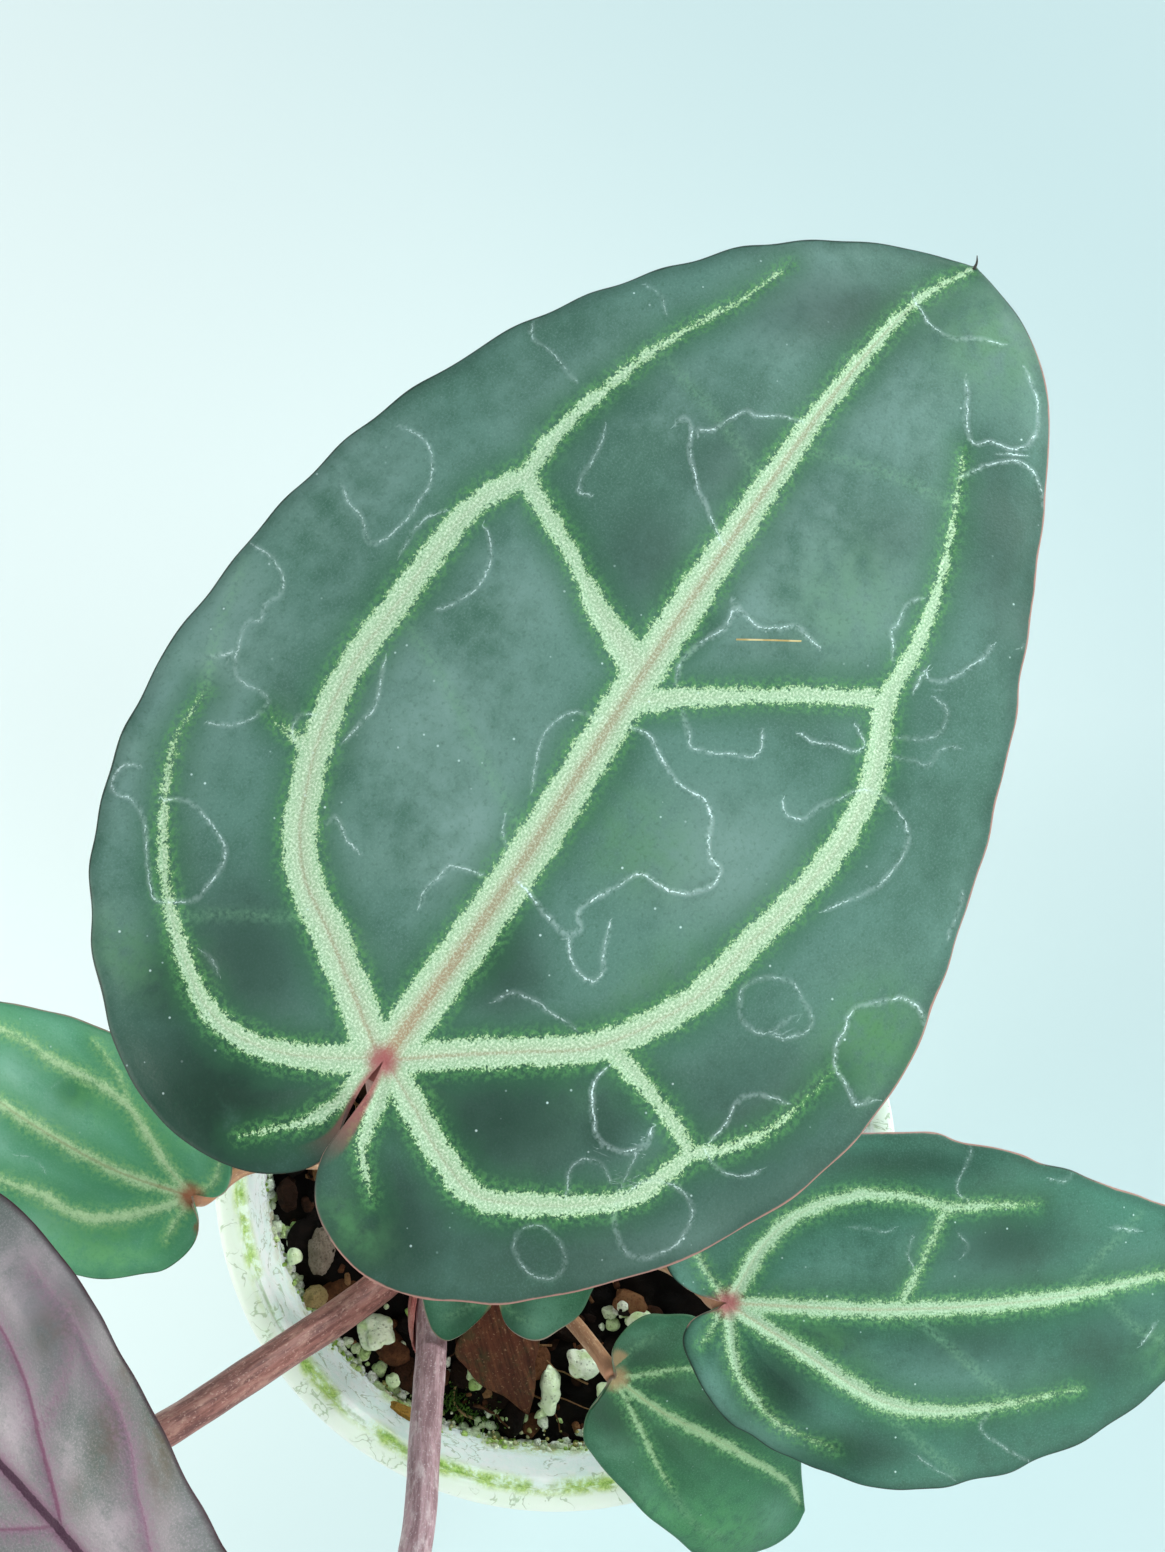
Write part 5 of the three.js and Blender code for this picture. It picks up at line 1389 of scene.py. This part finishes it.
class Heap:
    """Many small closed bodies collected into one mesh, each with a tone of its own."""

    def __init__(self):
        """An empty heap."""
        self.points, self.faces, self.tones, self.count = [], [], [], 0

    def add(self, points, faces, tone):
        self.points.append(points)
        self.faces.append(faces + self.count)
        self.tones.append(np.full(len(points), tone))
        self.count += len(points)

    def mesh(self, name, material):
        values = {"tone": np.concatenate(self.tones)}
        return make_mesh(name, np.vstack(self.points), np.vstack(self.faces), [material], None, values)


def mix_height(x, y):
    """The top of the mix: lumps of bark under a fine rough surface, a little lower along the wall."""
    radius = np.hypot(x, y)
    lumps = 1.4 * np.abs(ripple(11, 15, x, y)) + 0.9 * np.abs(ripple(12, 7, x, y))
    lumps = lumps + 0.35 * ripple(13, 3, x, y)
    return MIX_TOP - 0.9 + lumps * smooth((58 - radius) / 9)


def mix_level(x, y):
    """The height of the mix at one place."""
    return mix_height(np.array([x]), np.array([y]))[0]


def crumb_material(name, tones, roughness=0.85):
    """Rough crumbs whose colour runs through the tones, from one crumb to the next."""
    f = Finish(name, roughness=roughness, Specular_IOR_Level=0.12)
    at = f.position()
    tone = f.calc("MULTIPLY_ADD", f.calc("SUBTRACT", f.noise(at, 0.6, 3, 0.6), 0.5), 0.5, f.value("tone"))
    ramp = f.node("ValToRGB")
    ramp.color_ramp.elements.remove(ramp.color_ramp.elements[1])
    for i, code in enumerate(tones):
        place = i / (len(tones) - 1)
        element = ramp.color_ramp.elements[0] if i == 0 else ramp.color_ramp.elements.new(place)
        element.position = place
        element.color = colour(code)
    f.link(tone, ramp.inputs[0])
    fine = f.noise(at, 2.2, 4, 0.7)
    f.bump(fine, 0.8, 0.0008)
    return f.paint(f.layer(ramp.outputs[0], "#0b0705", f.step(fine, 0.5, 0.3), 0.6))


def mix_body():
    """The potting mix, lumpy on top and filling the pot down to its floor."""
    angle = circle(MIX_SEGMENTS)
    radius = (wall_radius(MIX_TOP) - 0.05) * np.linspace(0, 1, MIX_RINGS + 1)[1:]
    x = np.outer(radius, np.cos(angle)).ravel()
    y = np.outer(radius, np.sin(angle)).ravel()
    top = np.column_stack([x, y, mix_height(x, y)])
    bottom = FLOOR + CLEARANCE
    foot = round_points(wall_radius(FLOOR + 2) - 2.3, angle, np.full(MIX_SEGMENTS, bottom))
    points = np.vstack([top, foot, [0, 0, mix_level(0.0, 0.0)], [0, 0, bottom]])
    faces = turned_faces(MIX_RINGS + 1, MIX_SEGMENTS)[:, ::-1]
    tone = 0.1 + 0.15 * ripple(17, 9, points[:, 0], points[:, 1])
    # Near-black tones: partly the damp mix's own dark colour, partly painted shade in the gaps between its
    # crumbs.
    material = crumb_material("mix_soil", ["#070504", "#140d08", "#2b1b11", "#4a3121"])
    piece(make_mesh("potting_soil", points, faces, [material], None, {"tone": tone}), "mix", "potting_mix")


def scattered(random, least_gap=4.0):
    """A place on the mix that isn't under the crown or hard against the wall."""
    while True:
        radius, angle = MIX_REACH * math.sqrt(random.uniform()), random.uniform(0, 2 * np.pi)
        x, y = radius * math.cos(angle), radius * math.sin(angle)
        if math.hypot(x - CROWN_CENTRE[0], y - CROWN_CENTRE[1]) > CROWN_RADIUS + least_gap:
            return x, y


def litter():
    """Bark chips and crumbs that lie loose in the top of the mix."""
    random = np.random.default_rng(5)
    heap = Heap()
    chip, crumb = ball(3), ball(2)
    bits, chips = 520, 130
    for i in range(bits):
        large = i < chips
        shape, faces = chip if large else crumb
        size = random.uniform(2.2, 5.0) if large else random.uniform(0.5, 1.9)
        scale = size * np.array([1.0, random.uniform(0.45, 0.8), random.uniform(0.25, 0.5)])
        boxy = np.sign(shape) * np.abs(shape) ** 0.65
        body = (boxy * rough(shape, 0.16, 1000 + i, 0.9) * scale) @ turned_by(random, 0.45).T
        x, y = scattered(random, 2.0 + size)
        limit = MIX_REACH + 0.5 - size
        if math.hypot(x, y) > limit:
            x, y = np.array([x, y]) * limit / math.hypot(x, y)
        z = mix_level(x, y) + scale[2] * random.uniform(-0.2, 0.5)
        heap.add(body + [x, y, z], faces, random.uniform(0, 1) ** 1.6)
    material = crumb_material("mix_chips", ["#0e0806", "#22140c", "#45291a", "#6e462d", "#96704d"])
    piece(heap.mesh("bark_litter", material), "bark")


def rootlets():
    """Fine dead roots and fibres over the mix."""
    random = np.random.default_rng(8)
    heap = Heap()
    fibres = 70
    for _ in range(fibres):
        x, y = scattered(random)
        heading = random.uniform(0, 2 * np.pi)
        line = []
        for _ in range(9):
            line.append((x, y, mix_level(x, y) + random.uniform(0.2, 1.6)))
            heading += random.normal(0, 0.28)
            length = random.uniform(1.2, 2.6)
            nx, ny = x + length * math.cos(heading), y + length * math.sin(heading)
            if math.hypot(nx, ny) > MIX_REACH - 0.5:
                break
            x, y = nx, ny
        if len(line) < 4:
            continue
        path = spline(line, step=0.7)
        radius = random.uniform(0.14, 0.42) * (1 - 0.6 * np.linspace(0, 1, len(path)))
        points, faces, _, _ = tube(path, radius, 7)
        heap.add(points, faces, random.uniform(0, 1))
    material = crumb_material("root_fibre", ["#3a2417", "#6d4a2f", "#9a7650", "#b89a72"], 0.7)
    piece(heap.mesh("fine_roots", material), "bark")


def wall_lime():
    """Pale flakes of lime where the mix meets the wall, in a band of uneven width."""
    random = np.random.default_rng(44)
    shape, faces = ball(2)
    heap = Heap()
    flakes = 520
    for i in range(flakes):
        angle = random.uniform(-np.pi, np.pi)
        reach = 0.3 + 2.2 * max(0.0, ripple(45, 0.3, np.array([angle]))[0])
        size = random.uniform(0.3, 1.0) * np.array([random.uniform(0.6, 1.1), random.uniform(0.8, 1.7), 0.5])
        z = MIX_TOP + random.uniform(-0.4, 1.3)
        out = wall_radius(z) - 0.6 * size[0] - reach * random.uniform() ** 2
        body = (shape * rough(shape, 0.35, 4000 + i, 1.0) * size + [out, 0, z]) @ turn_about_z(angle).T
        heap.add(body, faces, random.uniform(0, 1))
    material = crumb_material("lime_flakes", ["#a9c27c", "#d9e8c6", "#eef8e8", "#fbfffa"], 0.6)
    piece(heap.mesh("wall_lime", material), "perlite")


def wall_algae(random, shape, faces):
    """Small clumps of lime and algae crumbs that cling to the wall over the mix."""
    heap = Heap()
    crumbs, clumps = 420, 44
    middles = [(random.uniform(-178, -78), MIX_TOP + 3.5 * random.uniform() ** 2) for _ in range(clumps)]
    for i in range(crumbs):
        bearing, level = middles[i % clumps]
        angle = math.radians(bearing + random.normal(0, 1.5))
        z = level + random.normal(0, 0.8)
        size = 0.16 + 0.6 * random.uniform() ** 2
        size = size * np.array([1, random.uniform(0.6, 1), random.uniform(0.5, 0.9)])
        body = (shape * rough(shape, 0.25, 3000 + i, 1.1) * size) @ turned_by(random, 0.5).T
        out = wall_radius(z) - size[0] * 0.3
        heap.add(body + at_bearing(out, angle, z), faces, random.uniform(0, 1))
    material = crumb_material("wall_algae", ["#7fa83c", "#abd066", "#d3e9a4", "#eff6e0"], 0.5)
    piece(heap.mesh("wall_crust", material), "perlite")


def wall_beads(random, shape, faces):
    """A row of clear pale beads along the edge of the mix."""
    heap = Heap()
    beads = 90
    for _ in range(beads):
        angle = math.radians(random.uniform(-128, -80))
        size = 0.16 + 0.4 * random.uniform() ** 2
        z = MIX_TOP + random.uniform(0.0, 1.6)
        out = wall_radius(z) - size - 3.5 * random.uniform() ** 2
        heap.add(shape * size + at_bearing(out, angle, z), faces, random.uniform(0, 1))
    f = Finish("bead_clear", roughness=0.18, Specular_IOR_Level=0.6)
    tone = f.step(f.value("tone"), 0.2, 0.8)
    material = f.paint(f.layer(colour("#8a8448"), "#eef4d8", tone))
    piece(heap.mesh("wall_beads", material), "perlite")


def moss_tuft(random):
    """A tuft of moss on the mix by the wall, in tapered leaflets."""
    heap = Heap()
    leaflets = 260
    for _ in range(leaflets):
        angle = math.radians(random.normal(-112, 4.5))
        out = min(random.normal(52.5, 2.0), MIX_REACH + 0.3)
        foot = at_bearing(out, angle, MIX_TOP - 0.6)
        lean = np.array([random.normal(0, 0.6), random.normal(0, 0.6), random.uniform(1.4, 3.2)])
        path = spline([foot, foot + lean * 0.5, foot + lean + [0, 0, -0.2]], count=5)
        points, faces, _, _ = tube(path, 0.3 * (1 - 0.85 * np.linspace(0, 1, len(path))), 5)
        heap.add(points, faces, random.uniform(0, 1))
    material = crumb_material("moss_green", ["#2f4a1d", "#4d7430", "#7aa34a"], 0.7)
    piece(heap.mesh("moss_tuft", material), "mix")


def stuck_crumb():
    """One large brown crumb that sticks to the wall."""
    shape, faces = ball(4)
    z = MIX_TOP + 4.6
    place = [wall_radius(z) - 0.5, 0, z]
    body = shape * rough(shape, 0.2, 77, 0.8) * [0.9, 3.4, 2.2] + place
    body = body @ turn_about_z(math.radians(-121)).T
    material = crumb_material("stuck_crumb", ["#6d4c1e", "#a9803a", "#b9b060"], 0.7)
    tone = np.full(len(body), 0.5)
    piece(make_mesh("wall_crumb", body, faces, [material], None, {"tone": tone}), "bark")


def wall_growth():
    """What grows and sticks along the wall, made in one run of random draws."""
    random = np.random.default_rng(21)
    grain = ball(2)
    wall_algae(random, *grain)
    wall_beads(random, *grain)
    moss_tuft(random)
    stuck_crumb()


def rounded(name):
    """The points and faces of a CAD lump, made finer and rounder."""
    lump = bmesh.new()
    lump.from_mesh(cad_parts[name].data)
    bmesh.ops.remove_doubles(lump, verts=lump.verts, dist=1e-6)
    mesh = bpy.data.meshes.new(name)
    lump.to_mesh(mesh)
    lump.free()
    twin = bpy.data.objects.new(name + "_rough", mesh)
    bpy.context.scene.collection.objects.link(twin)
    finer = twin.modifiers.new("finer", "SUBSURF")
    finer.levels = finer.render_levels = 3
    fine = evaluated_mesh(twin)
    bpy.data.objects.remove(twin)
    points = np.array([vertex.co[:] for vertex in fine.vertices]) / MM
    return points, [list(polygon.vertices) for polygon in fine.polygons]


def loose_pieces():
    """Bark and perlite: each CAD lump, rounded off and roughened."""
    brown = crumb_material("bark_brown", ["#24140c", "#4c2e1d", "#7a4f35", "#9c7252"])
    weathered = crumb_material("bark_grey", ["#463a30", "#6f6154", "#95887b", "#b3a79b"])
    tan = crumb_material("bark_tan", ["#3a2d18", "#65522f", "#8a7348", "#a8946a"])
    stone = perlite_material()
    barks = {"bark_2": weathered, "bark_3": tan, "bark_7": weathered, "bark_10": tan}
    names = [name for name in sorted(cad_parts) if name.startswith(("bark_", "perlite_"))]
    for i, name in enumerate(names):
        is_bark = name.startswith("bark")
        points, faces = rounded(name)
        centre = points.mean(0)
        away = points - centre
        lobes = 0.09 * ripple(60 + i, 2.2, *points.T) if is_bark else 0.22 * ripple(60 + i, 3.4, *points.T)
        crumbs = 0.04 * ripple(90 + i, 0.9 if is_bark else 1.5, *points.T)
        body = centre + away * (1.06 + lobes + crumbs)[:, None]
        tone = np.full(len(points), (i * 0.37) % 1.0)
        material = barks.get(name, brown) if is_bark else stone
        made = make_mesh(f"{name}_piece", body, faces, [material], None, {"tone": tone})
        piece(made, "bark" if is_bark else "perlite", name)


def pale_grains():
    """Small clusters of pale grains on the mix, most of them near the wall."""
    random = np.random.default_rng(51)
    clusters = [
        (-19, -42, 7), (-14, -49, 6), (-9, -52, 6), (-36, -45.5, 6), (-30, -33, 5), (-41.7, -40, 5),
        (11.6, -31, 8), (15.6, -30.6, 7), (-53.6, -16.4, 4), (-2, -51, 4), (26, -40, 6), (34, 18, 8),
        (-8, 44, 8), (14, 30, 6), (-46, 12, 6), (40, -12, 5),
    ]
    shape, faces = ball(3)
    heap = Heap()
    for x, y, count in clusters:
        for _ in range(count):
            size = random.uniform(0.5, 1.5) * np.array([1, random.uniform(0.6, 1), random.uniform(0.6, 0.9)])
            at = np.array([x, y]) + random.normal(0, 1.8, 2)
            at *= min(1, (56.2 - size[0]) / np.hypot(*at))
            factor = rough(shape, 0.22, 4000 + heap.count, 1.3)
            body = (shape * factor * size) @ turned_by(random, 0.6).T
            heap.add(body + [*at, mix_level(*at) + 0.3 * size[2]], faces, random.uniform(0, 1))
    material = crumb_material("grain_pale", ["#9fc268", "#c3dc9a", "#dfebc8", "#f1f5e4"], 0.6)
    piece(heap.mesh("pale_grains", material), "perlite")


def perlite_material():
    """Pale porous grains, greenish in places."""
    f = Finish("perlite_pale", roughness=0.75)
    at = f.position()
    fine = f.noise(at, 1.5, 4, 0.7)
    base = f.layer(colour("#cfe5b2"), "#eef6e0", f.value("tone"))
    base = f.layer(base, "#b3cf7c", f.step(f.noise(at, 0.35, 3, 0.6), 0.45, 0.7), 0.7)
    pits = f.step(f.cells(at, 1.1).outputs["Distance"], 0.3, 0.12)
    base = f.layer(base, "#7c8468", pits, 0.4)
    f.bump(f.calc("MULTIPLY_ADD", pits, -0.8, fine), 0.7, 0.0006)
    return f.paint(base)


def crown():
    """The short stem that carries the leaves, with rings of old leaf scars."""
    level = np.linspace(CROWN_BOTTOM, CROWN_TOP, CROWN_ROWS)
    share = np.linspace(0, 1, CROWN_ROWS)
    radius = CROWN_RADIUS - 0.5 - 1.5 * (1 - smooth(share / 0.1)) - 0.9 * smooth((share - 0.93) / 0.07)
    angle, height = np.meshgrid(circle(CROWN_SIDES), level)
    scars = 0.35 * np.sin(2 * np.pi * height / 3.1 + 0.8 * np.sin(angle * 2))
    scars = scars + 0.25 * ripple(31, 1.2, np.cos(angle), np.sin(angle), height / 4)
    out = radius[:, None] + scars * smooth(share / 0.1)[:, None] * smooth((1 - share) / 0.06)[:, None]
    points = np.vstack([round_points(out, angle, height), [0, 0, CROWN_BOTTOM], [0, 0, CROWN_TOP]])
    points = points + [*CROWN_CENTRE, 0]
    tone = 0.5 + 0.5 * ripple(33, 8, *points.T)
    material = crumb_material("crown_bark", ["#3d3220", "#5f5336", "#83744f", "#6f7a48"])
    faces = turned_faces(CROWN_ROWS, CROWN_SIDES)
    piece(make_mesh("stem_crown", points, faces, [material], None, {"tone": tone}), "crown", "crown")


def crown_roots():
    """A few short roots that leave the crown and dive into the mix."""
    random = np.random.default_rng(44)
    heap = Heap()
    roots = 9
    surface, buried = MIX_TOP + 0.5, MIX_TOP - 2.5
    for bearing in circle(roots):
        heading = at_bearing(1.0, bearing + random.uniform(-0.25, 0.25), 0)
        level = random.uniform(98.5, 102.5)
        start = np.array([*CROWN_CENTRE, 0]) + heading * (CROWN_RADIUS - 1.5) + UP * level
        reach = random.uniform(4.5, 8.5)
        path = spline([
            start,
            start + heading * reach * 0.45 + UP * 0.4,
            start + heading * reach * 0.85 - UP * (level - surface) * 0.6,
            start + heading * reach - UP * (level - buried),
        ], step=0.4)
        radius = random.uniform(1.0, 1.5) * (1 - 0.15 * np.linspace(0, 1, len(path)))
        points, faces, _, _ = tube(path, radius, 14)
        heap.add(points, faces, random.uniform(0, 1))
    material = crumb_material("root_skin", ["#7b6a45", "#a08f66", "#8a9460"], 0.6)
    piece(heap.mesh("crown_roots", material), "crown")


def dry_sheath():
    """The old brown sheath beside the crown, made like a blade."""
    points, faces, kinds, values, places = blade(DRY_SHEATH, 9)
    paper = dry_material()
    made = make_mesh("dry_sheath", points, faces, [paper] * 3, kinds, values, {"leaf_place": places})
    piece(made, "dry_sheath", "sheath_dry")


def young_sheath():
    """The fresh sheath round the foot of the newest stalk, narrower and thinner towards its tip."""
    leaf, size = LEAVES["f"], YOUNG_SHEATH
    line = stalk_line(leaf)
    rows = size["rows"]
    along = np.linspace(0, 1, rows)
    share = size["length"] * along
    centre = point_on(line, share)
    radius = stalk_radius(leaf["radius"], share) + 1.6 * CLEARANCE
    spread = size["spread"] + (size["tip_spread"] - size["spread"]) * along ** 2
    across = np.linspace(-0.5, 0.5, rows)
    angle = np.radians(size["facing"] + spread[:, None] * across[None])
    outward = np.stack([np.cos(angle), np.sin(angle), np.zeros_like(angle)], axis=2)
    inner = centre[:, None] + outward * radius[:, None, None]
    thin = size["thickness"] * (0.35 + 0.65 * smooth((0.5 - np.abs(across)) / 0.12))
    thin = thin[None, :] * (0.4 + 0.6 * smooth((1 - along) / 0.15))[:, None]
    ridge = 0.08 * np.cos(across * 2 * np.pi * 7)[None, :]
    outer = inner + outward * (thin + ridge)[:, :, None]
    points, faces, _ = thicken(outer.reshape(-1, 3), inner.reshape(-1, 3), grid_faces(rows, rows))
    run = np.tile(np.repeat(share * len(line), rows), 2)
    place = round_points(3, np.tile(angle.ravel(), 2), run)
    material = stalk_material("sheath_pink", "#d69a92", "#c27c74", "#9c5450", "#b8605c", "#dcaaa0")
    values = {"share": np.full(len(points), 0.5)}
    made = make_mesh("young_sheath", points, faces, [material], None, values, {"stalk_place": place})
    piece(made, "young_sheath", "sheath_young")


def on_blade(leaf, u, v, up):
    """The place just over a blade's upper face at leaf coordinates."""
    origin, u_axis, v_axis, normal, length = plane_of(leaf)
    return origin + u * u_axis + v * v_axis + (arched(leaf, length, u, v) + up) * normal


def small_things():
    """A dry fibre that lies on the largest leaf, and the dark point at that leaf's tip."""
    leaf = LEAVES["a"]
    f = Finish("dry_fibre", roughness=0.6)
    straw = f.paint(f.layer(colour("#b39b5e"), "#d8c68f", f.step(f.noise(f.position(), 0.5), 0.4, 0.6)))
    along = [(78.0, -4.4, 1.15), (80.8, -8.2, 1.1), (83.6, -12.1, 1.15)]
    path = spline([on_blade(leaf, *at) for at in along], count=16)
    points, faces, _, _ = tube(path, 0.13, 8)
    piece(make_mesh("leaf_a_fibre", points, faces, [straw]), "dry_sheath")

    f = Finish("dry_tip", roughness=0.7)
    dark = f.paint(f.layer(colour("#1f2420"), "#3d3a33", f.noise(f.position(), 1.5)))
    along = [(150.2, 0, -0.5), (151.6, 0.3, -0.4), (152.3, 0.9, 0.1)]
    path = spline([on_blade(leaf, *at) for at in along], count=10)
    points, faces, _, _ = tube(path, 0.32 * (1 - 0.8 * np.linspace(0, 1, len(path))), 8)
    piece(make_mesh("leaf_a_tip", points, faces, [dark]), "blade")


camera_and_light()
floor()
leaves()
pot()
mix_body()
litter()
rootlets()
wall_growth()
wall_lime()
loose_pieces()
pale_grains()
crown()
crown_roots()
dry_sheath()
young_sheath()
small_things()
